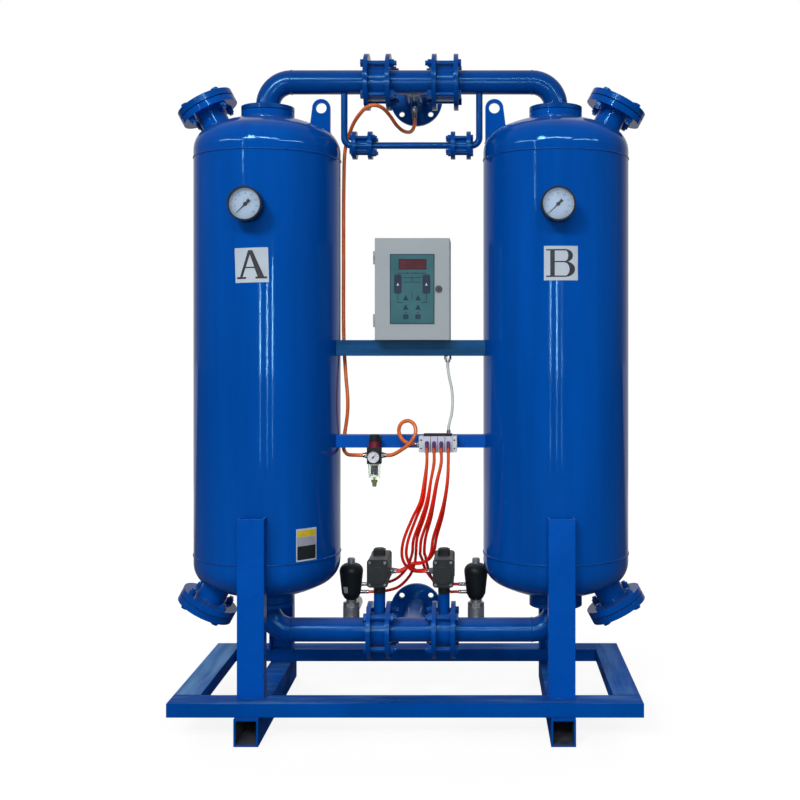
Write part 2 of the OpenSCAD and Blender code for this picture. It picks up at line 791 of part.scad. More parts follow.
module gauge_pointer() {
  lift = dial_h + dial_t + 2;
  translate([0, 0, lift]) pointer_shape(pointer_d, gauge_d / 2 - 2 * bezel_w, 1.5);
  translate([0, 0, gauge_wall + 1]) cylinder(d = pointer_d, h = lift - gauge_wall - 1);
}
module gauge_pointer_a() {
  color(dark) at_gauge(-1) gauge_pointer();
}
module gauge_pointer_b() {
  color(dark) at_gauge(1) gauge_pointer();
}

// Main pipework, drawn for the tower A side
module elbow_bend(d) {
  translate([elbow_r, 0, -elbow_r]) facing_front() rotate([0, 0, 90]) rotate_extrude(angle = 90)
    translate([elbow_r, 0]) circle(d = d);
}
// Neck to flange run: origin where the neck and pipe axes meet, the run towards +X
module spool_run(d, face_x, extra = 0) {
  translate([0, 0, -neck_reach - extra]) cylinder(d = d, h = neck_reach - elbow_r + extra);
  elbow_bend(d);
  translate([elbow_r, 0, 0]) along_x() cylinder(d = d, h = tower_x - face_x - elbow_r + extra);
}
module spool_flanges(face_x) {
  translate([0, 0, -neck_reach]) difference() {
    flange(neck_od, flange_t, neck_pcd, 4, flange_hole_d);
    on_circle(4, neck_pcd, 45) translate([0, 0, flange_t - sunk_h])
      cylinder(d = sunk_d + 2, h = sunk_h + 1);
  }
  translate([tower_x - face_x - flange_t, 0, 0]) along_x() pipe_flange();
}
module purge_branch(d, extra = 0) {
  leg = purge_drop - purge_elbow_r;
  translate([0, 0, -leg]) cylinder(d = d, h = leg);
  translate([purge_elbow_r, 0, -leg]) facing_front() rotate([0, 0, 180]) rotate_extrude(angle = 90)
    translate([purge_elbow_r, 0]) circle(d = d);
  translate([purge_elbow_r, 0, -purge_drop]) along_x()
    cylinder(d = d, h = purge_leg_x - purge_outer_x - purge_elbow_r + extra);
}
module purge_flange() {
  flange(purge_flange_od, purge_flange_t, purge_pcd, 4, purge_bolt_d + 2);
}
module top_spool() {
  leg = tower_x - purge_leg_x;
  translate([-tower_x, 0, top_pipe_z]) difference() {
    union() {
      spool_run(pipe_od, check_face_x);
      spool_flanges(check_face_x);
      translate([leg, 0, 0]) purge_branch(purge_od);
      translate([tower_x - purge_outer_x - purge_flange_t, 0, -purge_drop]) along_x() purge_flange();
    }
    spool_run(pipe_id, check_face_x, 1);
    translate([leg, 0, 0]) purge_branch(purge_id, 1);
  }
}
module top_spool_a() {
  color(paint) side(-1) top_spool();
}
module top_spool_b() {
  color(paint) side(1) top_spool();
}
module tee(d, extra) {
  translate([-tee_half - extra, 0, 0]) along_x() cylinder(d = d, h = 2 * (tee_half + extra));
  along_y() cylinder(d = d, h = branch_reach + extra);
}
module flanged_tee() {
  both_sides() translate([-tee_half, 0, 0]) along_x() pipe_flange();
  translate([0, branch_reach - flange_t, 0]) along_y() pipe_flange();
  tee(pipe_od, 0);
}
pilot_bore_d = 12;
module outlet_tee() {
  color(paint) translate([0, 0, top_pipe_z]) difference() {
    union() {
      flanged_tee();
      translate([0, pilot_y, -pilot_boss]) cylinder(d = 2 * pilot_bore_d, h = pilot_boss);
    }
    tee(pipe_id, 1);
    translate([0, pilot_y, -pilot_boss - 1]) cylinder(d = pilot_bore_d, h = pilot_boss);
  }
}
module inlet_tee() {
  color(paint) translate([0, 0, low_pipe_z]) difference() {
    flanged_tee();
    tee(pipe_id, 1);
  }
}
exh_bore_d = 27;
module bottom_spool() {
  translate([-tower_x, 0, low_pipe_z]) difference() {
    union() {
      mirror([0, 0, 1]) {
        spool_run(pipe_od, wafer_face_x);
        spool_flanges(wafer_face_x);
      }
      translate([tower_x - exhaust_x, 0, 0]) along_y() cylinder(d = exh_bore_d + 15, h = exh_boss_y);
    }
    mirror([0, 0, 1]) spool_run(pipe_id, wafer_face_x, 1);
    translate([tower_x - exhaust_x, 0, 0]) along_y() cylinder(d = exh_bore_d, h = exh_boss_y + 1);
  }
}
module bottom_spool_a() {
  color(paint) side(-1) bottom_spool();
}
module bottom_spool_b() {
  color(paint) side(1) bottom_spool();
}
module flange_bolts() {
  check_grip = check_len + 2 * flange_t;
  wafer_grip = wafer_len + 2 * flange_t;
  purge_grip = purge_body_len + 2 * purge_flange_t;
  color(paint) both_sides() {
    translate([-check_face_x - flange_t, 0, top_pipe_z]) along_x()
      on_circle(4, flange_pcd, 45) bolt(flange_bolt_d, check_grip);
    translate([-wafer_face_x - flange_t, 0, low_pipe_z]) along_x()
      on_circle(4, flange_pcd, 45) bolt(flange_bolt_d, wafer_grip);
    translate([-purge_outer_x - purge_flange_t, 0, purge_z]) along_x()
      on_circle(4, purge_pcd, 45) bolt(purge_bolt_d, purge_grip);
    translate([-tower_x, 0, seam_z]) two_ends() translate([0, 0, pad_face + gasket_t + flange_t])
      mirror([0, 0, 1]) on_circle(4, neck_pcd, 45) sunk_screw(flange_t + gasket_t + pad_t / 2 - 1);
  }
}

// Check valves: origin at the face towards the tower, flow along +X
check_seat_t = 10;
check_disc_t = 6;
check_stem_d = 8;
check_bridge_t = 8;
check_bridge_at = check_len - 12;
module at_check() {
  translate([-check_face_x, 0, top_pipe_z]) along_x() children();
}
module check_valve_bodies() {
  color(paint) both_sides() at_check() {
    difference() {
      cylinder(d = check_od, h = check_len);
      translate([0, 0, -1]) cylinder(d = check_seat_d, h = check_len + 2);
      translate([0, 0, check_seat_t]) cylinder(d = check_chamber_d, h = check_len);
    }
    translate([0, 0, check_bridge_at]) difference() {
      intersection() {
        union() {
          cylinder(d = 2.5 * check_stem_d, h = check_bridge_t);
          translate([-check_chamber_d / 2, -check_stem_d, 0])
            cube([check_chamber_d, 2 * check_stem_d, check_bridge_t]);
        }
        cylinder(d = check_chamber_d + 2, h = check_bridge_t);
      }
      translate([0, 0, -1]) cylinder(d = check_stem_d + 2 * run_gap, h = check_bridge_t + 2);
    }
  }
}
module check_disc() {
  at_check() translate([0, 0, check_seat_t + move_gap]) {
    cylinder(d = check_disc_d, h = check_disc_t);
    cylinder(d = check_stem_d, h = check_bridge_at + check_bridge_t - check_seat_t + 1);
  }
}
module check_disc_a() {
  color(steel) side(-1) check_disc();
}
module check_disc_b() {
  color(steel) side(1) check_disc();
}

// Purge line
module purge_pipe() {
  color(paint) translate([-purge_face_x, 0, purge_z]) along_x() difference() {
    union() {
      cylinder(d = purge_od, h = 2 * purge_face_x);
      purge_flange();
      translate([0, 0, 2 * purge_face_x - purge_flange_t]) purge_flange();
    }
    translate([0, 0, -1]) cylinder(d = purge_id, h = 2 * purge_face_x + 2);
  }
}
module purge_orifices() {
  color(paint) both_sides() translate([-purge_outer_x, 0, purge_z]) along_x() difference() {
    cylinder(d = purge_body_od, h = purge_body_len);
    translate([0, 0, -1]) cylinder(d = purge_id, h = purge_body_len / 2 - 1);
    translate([0, 0, purge_body_len / 2 + 2]) cylinder(d = purge_id, h = purge_body_len / 2);
    translate([0, 0, -1]) cylinder(d = orifice_d, h = purge_body_len + 2);
  }
}

// Butterfly valves and their actuators: origin where stem and pipe axes meet
trunnion = 12;
module at_valve() {
  translate([-valve_x, 0, low_pipe_z]) children();
}
module butterfly_bodies() {
  color(paint) both_sides() at_valve() difference() {
    union() {
      translate([-wafer_len / 2, 0, 0]) along_x() cylinder(d = wafer_od, h = wafer_len);
      cylinder(d = valve_neck_d, h = valve_neck_h);
    }
    translate([-wafer_len / 2 - 1, 0, 0]) along_x() cylinder(d = pipe_id, h = wafer_len + 2);
    translate([0, 0, -pipe_id / 2 - trunnion]) cylinder(d = stem_d + 2 * run_gap, h = 2 * valve_neck_h);
  }
}
module butterfly_disc() {
  rim = pipe_id / 2 - 2 * move_gap;
  stem_top = act_rise + act_h + indicator_h / 2;
  at_valve() {
    along_y() rotate_extrude()
      polygon([[0, -stem_d * 0.65], [rim * 0.45, -stem_d * 0.5], [rim, -2], [rim, 2],
        [rim * 0.45, stem_d * 0.5], [0, stem_d * 0.65]]);
    translate([0, 0, move_gap - pipe_id / 2 - trunnion])
      cylinder(d = stem_d, h = pipe_id / 2 + trunnion + stem_top);
  }
}
module butterfly_disc_a() {
  color(steel) side(-1) butterfly_disc();
}
module butterfly_disc_b() {
  color(steel) side(1) butterfly_disc();
}
module actuator_housings() {
  body_len = act_len - 2 * act_cap_t;
  color(dark) both_sides() at_valve() difference() {
    union() {
      translate([0, -body_len / 2, act_rise + act_h / 2]) along_y() linear_extrude(body_len) {
        rounded_rect(act_w - 4, act_h, 8);
        for (z = [-1, 0, 1]) translate([0, z * act_h / 4]) square([act_w, act_h / 12], center = true);
      }
      translate([0, 0, valve_neck_h]) cylinder(d = valve_neck_d + 1, h = act_rise - valve_neck_h);
      translate([0, -act_port_gap, act_port_z - act_z + act_rise - act_port_gap / 2])
        cube([act_w / 2, 2 * act_port_gap, act_port_gap]);
    }
    translate([0, 0, valve_neck_h - 1])
      cylinder(d = stem_d + 2 * run_gap, h = act_rise + act_h - valve_neck_h + 2);
  }
}
cap_screw_d = 9;
module actuator_end_caps() {
  color(dark) both_sides() at_valve() for (m = [0, 1]) mirror([0, m, 0])
    translate([0, -act_len / 2, act_rise + act_h / 2]) along_y() {
      linear_extrude(act_cap_t) rounded_rect(act_w, act_h, 10);
      translate([0, act_w / 10, -2]) cylinder(d = act_w * 0.82, h = 2);
      for (x = [-1, 1], z = [-1, 1])
        translate([x * (act_w / 2 - cap_screw_d), z * (act_h / 2 - cap_screw_d), -3])
          cylinder(d = cap_screw_d, h = 3);
    }
}
module position_indicator() {
  at_valve() translate([0, 0, act_rise + act_h + move_gap]) difference() {
    union() {
      linear_extrude(indicator_h - 4) rounded_rect(indicator_w, indicator_w, 6);
      translate([0, 0, indicator_h - 4]) cylinder(d1 = indicator_w, d2 = indicator_w - 10, h = 4);
    }
    translate([0, 0, -1]) cylinder(d = stem_d + 2 * run_gap, h = indicator_h / 2 + 1);
  }
}
module position_indicator_a() {
  color(dark) side(-1) position_indicator();
}
module position_indicator_b() {
  color(dark) side(1) position_indicator();
}

// Exhaust valves: origin on the stem axis, at floor level
exh_body_d = 54;
exh_chamber_d = 38;
exh_top_z = exh_foot_z - 26;
exh_out_d = 24;
module at_exhaust() {
  translate([-exhaust_x, exhaust_y, 0]) children();
}
module exhaust_valve_bodies() {
  color(steel) both_sides() at_exhaust() difference() {
    union() {
      translate([0, 0, low_pipe_z - exh_body_d / 2])
        cylinder(d = exh_body_d, h = exh_top_z + 4 - low_pipe_z + exh_body_d / 2);
      translate([0, exh_boss_y - exhaust_y, low_pipe_z]) along_y() {
        cylinder(d = exh_stub_d, h = exhaust_y - exh_boss_y);
        hexagon(exh_stub_d + 4, 14);
      }
      translate([0, 0, exh_out_z]) along_y() cylinder(d = exh_stub_d, h = exh_rear_y - exhaust_y);
      translate([0, 0, exh_top_z + 4]) hexagon(exh_body_d - 8, 12);
      translate([0, 0, exh_top_z + 16]) cylinder(d = exh_body_d - 20, h = exh_foot_z - exh_top_z - 16);
    }
    translate([0, exh_boss_y - exhaust_y - 1, low_pipe_z]) along_y()
      cylinder(d = exh_bore_d, h = exhaust_y - exh_boss_y + 1);
    translate([0, 0, low_pipe_z - exh_bore_d / 2]) cylinder(d = exh_out_d, h = exh_top_z - low_pipe_z);
    translate([0, 0, exh_seat_z]) cylinder(d = exh_chamber_d, h = exh_top_z - exh_seat_z);
    translate([0, 0, exh_out_z]) along_y() cylinder(d = exh_out_d, h = exh_rear_y - exhaust_y + 1);
    translate([0, 0, exh_seat_z]) cylinder(d = exh_stem_d + 2 * run_gap, h = exh_foot_z - exh_seat_z + 1);
  }
}
exh_wall = 5;
exh_cavity_d = exh_act_d - 2 * exh_taper - 2 * exh_wall;
module exhaust_shape() {
  r = exh_act_d / 2;
  low_r = r - exh_taper;
  belt = exh_act_h - exh_shoulder;
  rotate_extrude() {
    polygon([[0, 0], [low_r * 0.55, 0], [low_r * 0.75, exh_act_d / 16], [low_r, exh_act_d / 4],
      [r, belt], [0, belt]]);
    translate([0, belt]) square([r - exh_shoulder, exh_shoulder]);
    intersection() {
      translate([r - exh_shoulder, belt]) circle(exh_shoulder);
      translate([r - exh_shoulder, belt]) square(exh_shoulder);
    }
  }
}
module exhaust_actuators() {
  color(dark) both_sides() at_exhaust() translate([0, 0, exh_foot_z]) difference() {
    exhaust_shape();
    translate([0, 0, exh_act_d / 4])
      cylinder(d = exh_cavity_d, h = exh_act_h - exh_act_d / 4 - exh_shoulder);
    translate([0, 0, -1]) cylinder(d = exh_stem_d + 2 * run_gap, h = exh_act_h + 2);
  }
}
module exhaust_stem() {
  plug_d = exh_chamber_d - 8;
  piston_z = exh_foot_z + exh_act_d / 4 + 4;
  at_exhaust() {
    translate([0, 0, exh_seat_z + move_gap]) cylinder(d = plug_d, h = 8);
    translate([0, 0, exh_seat_z + move_gap])
      cylinder(d = exh_stem_d, h = exh_foot_z + exh_act_h + 1 - exh_seat_z);
    translate([0, 0, piston_z]) cylinder(d = exh_cavity_d - 2 * move_gap, h = 12);
  }
}
module exhaust_stem_a() {
  color(steel) side(-1) exhaust_stem();
}
module exhaust_stem_b() {
  color(steel) side(1) exhaust_stem();
}
module exhaust_domes() {
  wall = 3;
  color(clear) both_sides() at_exhaust() translate([0, 0, exh_foot_z + exh_act_h]) difference() {
    union() {
      cylinder(d = dome_d, h = dome_h - 3);
      translate([0, 0, dome_h - 3]) cylinder(d1 = dome_d, d2 = dome_d - 6, h = 3);
    }
    translate([0, 0, -1]) cylinder(d = dome_d - 2 * wall, h = dome_h - wall + 1);
  }
}
module silencers() {
  color(steel) both_sides() at_exhaust() translate([0, exh_rear_y - exhaust_y, exh_out_z]) along_y() {
    hexagon(silencer_d * 0.8, 10);
    translate([0, 0, 10]) cylinder(d = silencer_d, h = silencer_len - 16);
    translate([0, 0, silencer_len - 6]) cylinder(d1 = silencer_d, d2 = silencer_d - 12, h = 6);
  }
}

// Control cabinet
module knuckle(z, reach_back) {
  difference() {
    union() {
      translate([hinge_x, hinge_y, z]) cylinder(r = hinge_r, h = hinge_h);
      translate([hinge_x, hinge_y + (reach_back > 0 ? door_gap : -door_gap - 12), z])
        cube([hinge_r + cab_t / 2, 12, hinge_h]);
    }
    if (reach_back < 0) translate([hinge_x, hinge_y, z - 1])
      cylinder(d = hinge_pin_d + 2 * run_gap, h = hinge_h + 2);
  }
}
hinge_zs = [cab_z + hinge_inset, cab_z + cab_h - hinge_inset - 2 * hinge_h];
module cabinet() {
  front = -door_back + door_gap;
  depth = cab_d - door_d - door_gap;
  color(grey) {
    translate([cab_left, front, cab_z]) difference() {
      cube([cab_w, depth, cab_h]);
      translate([cab_t, cab_t, cab_t]) cube([cab_w - 2 * cab_t, depth - 2 * cab_t, cab_h - 2 * cab_t]);
      translate([rim_w, -1, rim_w]) cube([cab_w - 2 * rim_w, 2 * cab_t, cab_h - 2 * rim_w]);
    }
    for (z = hinge_zs) {
      knuckle(z, 1);
      translate([hinge_x, hinge_y, z]) cylinder(d = hinge_pin_d, h = 2 * hinge_h);
    }
  }
}
module cabinet_door() {
  color(grey) {
    difference() {
      translate([cab_left, -cab_front, cab_z]) cube([cab_w, door_d, cab_h]);
      translate([cab_left + cab_t, -cab_front + cab_t, cab_z + cab_t])
        cube([cab_w - 2 * cab_t, door_d, cab_h - 2 * cab_t]);
      translate([lock_x, -cab_front - 1, lock_z]) along_y()
        cylinder(d = lock_d + 2 * run_gap, h = 2 * cab_t);
    }
    for (z = hinge_zs) knuckle(z + hinge_h + move_gap, -1);
  }
}
module door_lock() {
  barrel = door_d + 2 * cab_t + 2;
  cam = [12, 30, 3];
  color(steel) translate([lock_x, -cab_front, lock_z]) along_y() {
    translate([0, 0, -4 - move_gap]) cylinder(d = lock_d + 6, h = 4);
    translate([0, 0, -1]) cylinder(d = lock_d, h = barrel + 1);
    translate([-cam[0] / 2, 0, barrel]) cube(cam);
  }
}
module control_panel() {
  color([0.16, 0.42, 0.46]) translate([cab_x, -cab_front, panel_z]) facing_front()
    linear_extrude(panel_t) rounded_rect(panel_w, panel_h, 3);
}
module controller_module() {
  depth = 28;
  edge = 10;
  color(dark) translate([cab_x, -cab_front + cab_t, panel_z]) along_y() {
    linear_extrude(depth / 2) rounded_rect(panel_w - 2 * edge, panel_h - 3 * edge, 4);
    translate([0, 0, depth / 2]) linear_extrude(depth / 2)
      rounded_rect(panel_w - 5 * edge, panel_h - 6 * edge, 4);
  }
}

// Filter regulator
bonnet_d = 36;
bracket_t = 3;
module regulator_body() {
  shaft_d = 10;
  color(dark) difference() {
    union() {
      translate([reg_x, -reg_front, reg_foot]) linear_extrude(reg_h) rounded_rect(reg_w, reg_w, 5);
      translate([reg_x, -reg_front, reg_top]) cylinder(d = bonnet_d, h = bonnet_h);
      translate([reg_x, -reg_front - reg_w / 2 + 1, small_gauge_z]) facing_front()
        cylinder(d = small_gauge_d, h = small_gauge_depth + 1);
      translate([reg_x - bonnet_d / 2, -bar_front - bracket_t, reg_top + 2])
        cube([bonnet_d, bracket_t, lower_bar_top - reg_top - 6]);
      translate([reg_x - bonnet_d / 2 + 2, -reg_front, reg_top + 4])
        cube([bonnet_d - 4, reg_front - bar_front, bracket_t]);
    }
    translate([reg_x, -reg_front, reg_top]) cylinder(d = shaft_d + 2 * run_gap, h = bonnet_h + 1);
    translate([reg_x, small_gauge_y - 1, small_gauge_z]) along_y()
      cylinder(d = small_gauge_d - 5, h = small_dial_depth + 1);
    translate([reg_x, small_gauge_y, small_gauge_z]) along_y()
      cylinder(d = 2 + 2 * run_gap, h = small_gauge_depth / 2);
  }
}
module regulator_knob() {
  color(dark) translate([reg_x, -reg_front, knob_z]) {
    difference() {
      cylinder(d = knob_d, h = knob_h);
      on_circle(18, knob_d + 0.6) translate([0, 0, 3]) cylinder(d = 2, h = knob_h);
    }
    translate([0, 0, -bonnet_h + 4]) cylinder(d = 10, h = bonnet_h - 4);
  }
}
module regulator_pointer() {
  color([0.1, 0.2, 0.5]) translate([reg_x, small_gauge_y + small_dial_depth, small_gauge_z]) facing_front() {
    translate([0, 0, 1]) rotate([0, 0, 180]) pointer_shape(2, small_gauge_d / 2 - 6, 1);
    translate([0, 0, -4]) cylinder(d = 2, h = 5);
  }
}
bowl_taper = 3;
bowl_wall = 2.5;
bowl_floor = 7;
drain_d = 6;
module filter_bowl() {
  top_r = bowl_d / 2;
  low_r = top_r - bowl_taper;
  color(clear) translate([reg_x, -reg_front, drain_z]) rotate_extrude()
    polygon([[drain_d / 2 + run_gap, 0], [low_r - bowl_wall, 0], [low_r, bowl_wall], [top_r, bowl_h],
      [top_r - bowl_wall, bowl_h], [low_r - bowl_wall, bowl_floor], [drain_d / 2 + run_gap, bowl_floor]]);
}
element_len = 28;
element_d = 22;
element_foot = 4;
element_cap = 6;
module filter_element() {
  color(white) translate([reg_x, -reg_front, reg_foot - element_cap - element_len - element_foot]) {
    translate([0, 0, element_foot]) cylinder(d = element_d, h = element_len);
    cylinder(d = element_d + 4, h = element_foot);
    translate([0, 0, element_foot + element_len]) cylinder(d = element_d + 6, h = element_cap);
  }
}
module bowl_drain() {
  color(clear) translate([reg_x, -reg_front, drain_z - move_gap]) {
    cylinder(d = drain_d, h = bowl_floor);
    translate([0, 0, -8]) cylinder(d = 20, h = 8);
    translate([0, 0, -22]) cylinder(d1 = 12, d2 = 16, h = 14);
  }
}

// Valve manifold
module valve_manifold() {
  color(grey) {
    translate([man_x - man_w / 2, man_y, man_z]) cube([man_w, man_d, man_h]);
    both_ends = man_w / 2 - end_plate_w;
    for (x = [-man_w / 2, both_ends]) translate([man_x + x, valve_y + 4, valve_z])
      cube([end_plate_w, valve_d - 4, valve_h]);
  }
}
module each_valve() {
  for (i = [0:3]) translate([man_x + (i - 1.5) * valve_pitch, 0, 0]) children();
}
connector_h = 8;
module solenoid_valves() {
  width = valve_pitch - 0.4;
  color(white) each_valve() {
    translate([-width / 2, valve_y, valve_z]) cube([width, valve_d, valve_h]);
    translate([-width / 2 + 0.2, valve_y + 4, valve_z + valve_h])
      cube([width - 0.4, valve_d - 12, connector_h]);
  }
}

// Push-in fittings and the cable entries
module straight_fitting(length, d = fitting_d) {
  hexagon(d + 1, length * 0.5);
  cylinder(d = d, h = length);
}
module elbow_fitting(reach, drop) {
  facing_front() cylinder(d = fitting_d, h = reach);
  translate([0, -reach, -drop]) cylinder(d = fitting_d - 1, h = drop);
  translate([0, -reach, 0]) sphere(d = fitting_d);
}
module tube_fittings() {
  color(steel) {
    translate([0, pilot_y, top_pipe_z - pilot_boss]) mirror([0, 0, 1])
      straight_fitting(pilot_len, supply_fitting_d);
    translate([reg_x, -reg_front, reg_z]) for (s = [-1, 1])
      translate([s * reg_w / 2, 0, 0]) rotate([0, s * 90, 0])
        straight_fitting(fitting_len, supply_fitting_d);
    translate([man_x - man_w / 2, man_y - 12, man_z + 22]) rotate([0, -90, 0])
      straight_fitting(fitting_len, supply_fitting_d);
    each_valve() {
      translate([0, valve_y, port_high]) elbow_fitting(port_high_reach, fitting_len);
      translate([0, valve_y, port_low]) elbow_fitting(port_low_reach, fitting_len);
    }
    both_sides() {
      for (y = [-1, 1]) translate([-valve_x + act_w / 2, y * act_port_gap / 2, act_port_z]) along_x()
        straight_fitting(act_fitting_len);
      difference() {
        for (z = exh_port_zs) translate([-exhaust_x, exhaust_y, z]) along_x()
          straight_fitting(exh_act_d / 2 + exh_fitting_len);
        translate([-exhaust_x, exhaust_y, exh_foot_z]) exhaust_shape();
      }
    }
    translate([gland_x, gland_y, upper_bar_top - upper_bar]) mirror([0, 0, 1]) {
      hexagon(20, gland_len * 0.6);
      cylinder(d = 16, h = gland_len);
    }
    translate([plug_x, valve_y + valve_d / 2 + 2, valve_z + valve_h + connector_h])
      cylinder(d = fitting_d, h = plug_len);
  }
}

// Tubes and cable
module supply_tube() {
  color(orange) tube(supply_route, supply_d);
}
module loop_tube() {
  color(orange) tube(loop_route, supply_d);
}
module control_tubes() {
  color(red) for (route = control_routes) tube(route, control_d);
}
module signal_cable() {
  color(grey) tube(cable_route, cable_d);
}

skid_tubes();
base_rails();
vessel_posts();
upper_crossbar();
lower_crossbar();
vessel_a();
vessel_b();
port_covers();
flange_gaskets();
port_bolts();
desiccant_beds();
bed_screens();
gauge_cases();
gauge_dials();
gauge_lenses();
gauge_pointer_a();
gauge_pointer_b();
top_spool_a();
top_spool_b();
outlet_tee();
check_valve_bodies();
check_disc_a();
check_disc_b();
purge_pipe();
purge_orifices();
bottom_spool_a();
bottom_spool_b();
inlet_tee();
butterfly_bodies();
butterfly_disc_a();
butterfly_disc_b();
flange_bolts();
actuator_housings();
actuator_end_caps();
position_indicator_a();
position_indicator_b();
exhaust_valve_bodies();
exhaust_actuators();
exhaust_stem_a();
exhaust_stem_b();
exhaust_domes();
silencers();
cabinet();
cabinet_door();
door_lock();
control_panel();
controller_module();
regulator_body();
regulator_knob();
regulator_pointer();
filter_bowl();
filter_element();
bowl_drain();
valve_manifold();
solenoid_valves();
tube_fittings();
supply_tube();
loop_tube();
control_tubes();
signal_cable();
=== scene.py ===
import math

import bmesh
import bpy
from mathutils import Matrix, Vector


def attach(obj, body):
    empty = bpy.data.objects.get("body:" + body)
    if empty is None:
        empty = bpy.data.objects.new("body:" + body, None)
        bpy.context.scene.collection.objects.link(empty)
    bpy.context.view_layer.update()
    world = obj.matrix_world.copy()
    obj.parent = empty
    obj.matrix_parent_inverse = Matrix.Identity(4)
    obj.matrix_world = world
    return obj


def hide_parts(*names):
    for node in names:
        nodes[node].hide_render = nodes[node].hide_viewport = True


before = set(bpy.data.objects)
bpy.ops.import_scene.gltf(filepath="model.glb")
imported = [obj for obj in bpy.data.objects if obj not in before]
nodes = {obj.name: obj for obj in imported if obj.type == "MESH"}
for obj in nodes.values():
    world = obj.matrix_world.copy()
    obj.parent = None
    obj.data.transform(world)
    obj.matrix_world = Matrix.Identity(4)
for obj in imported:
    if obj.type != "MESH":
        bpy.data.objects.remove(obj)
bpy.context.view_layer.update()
scene = bpy.context.scene
MM = 0.001
UP = Vector((0, 0, 1))
ACROSS = Vector((1, 0, 0))

# Main sizes of the part, in millimetres: x across the front, y to the back, z up from the floor
TOWER_X = 460
TOWER_R = 231
LOW_SEAM = 502
TOP_SEAM = 1752
TOP_PIPE = 2002
LOW_PIPE = 252
CROWN_R = 0.9 * (2 * TOWER_R)
KNUCKLE_R = 0.17 * (2 * TOWER_R)
HEAD_SKIRT = 24
HEAD_H = CROWN_R - math.sqrt((CROWN_R - KNUCKLE_R) ** 2 - (TOWER_R - KNUCKLE_R) ** 2)
RAIL_TOP = 120
REGULATOR_X, REGULATOR_Y = -110, -100
SMALL_DIAL_Y, SMALL_DIAL_Z = -137, 818
MANIFOLD_X = 87.4
VALVE_PITCH = 22
VALVE_FRONT = -118
VALVE_TOP = 880
ACTUATOR_X, ACTUATOR_Z = 103, 447
EXHAUST_X, EXHAUST_Y = -205, 100


# Camera: focal length and principal point in pixels of the picture
PICTURE = 800
FOCAL = 1095
CENTRE_X, CENTRE_Y = 479, 340
SENSOR = 36
camera_data = bpy.data.cameras.new("camera")
camera = bpy.data.objects.new("camera", camera_data)
scene.collection.objects.link(camera)
scene.camera = camera
camera.location = (0.215, -3.503, 1.178)
camera.rotation_euler = (math.radians(90), 0, 0)
camera_data.sensor_width = SENSOR
camera_data.lens = SENSOR * FOCAL / PICTURE
camera_data.shift_x = (PICTURE / 2 - CENTRE_X) / PICTURE
camera_data.shift_y = (CENTRE_Y - PICTURE / 2) / PICTURE
camera_data.clip_end = 60


# Shader steps
def new_node(tree, kind, **values):
    node = tree.nodes.new("ShaderNode" + kind)
    for key, value in values.items():
        setattr(node, key, value)
    return node


def link_math(tree, operation, a, b=0):
    node = new_node(tree, "Math", operation=operation)
    for value, place in ((a, node.inputs[0]), (b, node.inputs[1])):
        if isinstance(value, (int, float)):
            place.default_value = value
        else:
            tree.links.new(value, place)
    return node.outputs[0]


def link_map(tree, value, low, high, out_low=0.0, out_high=1.0):
    node = new_node(tree, "MapRange")
    for key, level in (("From Min", low), ("From Max", high),
                       ("To Min", out_low), ("To Max", out_high)):
        node.inputs[key].default_value = level
    tree.links.new(value, node.inputs["Value"])
    return node.outputs["Result"]


def split_vector(tree, value):
    node = new_node(tree, "SeparateXYZ")
    tree.links.new(value, node.inputs[0])
    return node.outputs


def scaled(color, k):
    return tuple(min(1.0, c * k) for c in color)


# Colour sockets of the Mix node
MIX_A, MIX_B, MIX_RESULT = 6, 7, 2
NOISE_ROUGHNESS = 0.55
GLOSS_SCALE = 18.0
PATCH_SCALE, PATCH_DETAIL = 9.0, 6.0


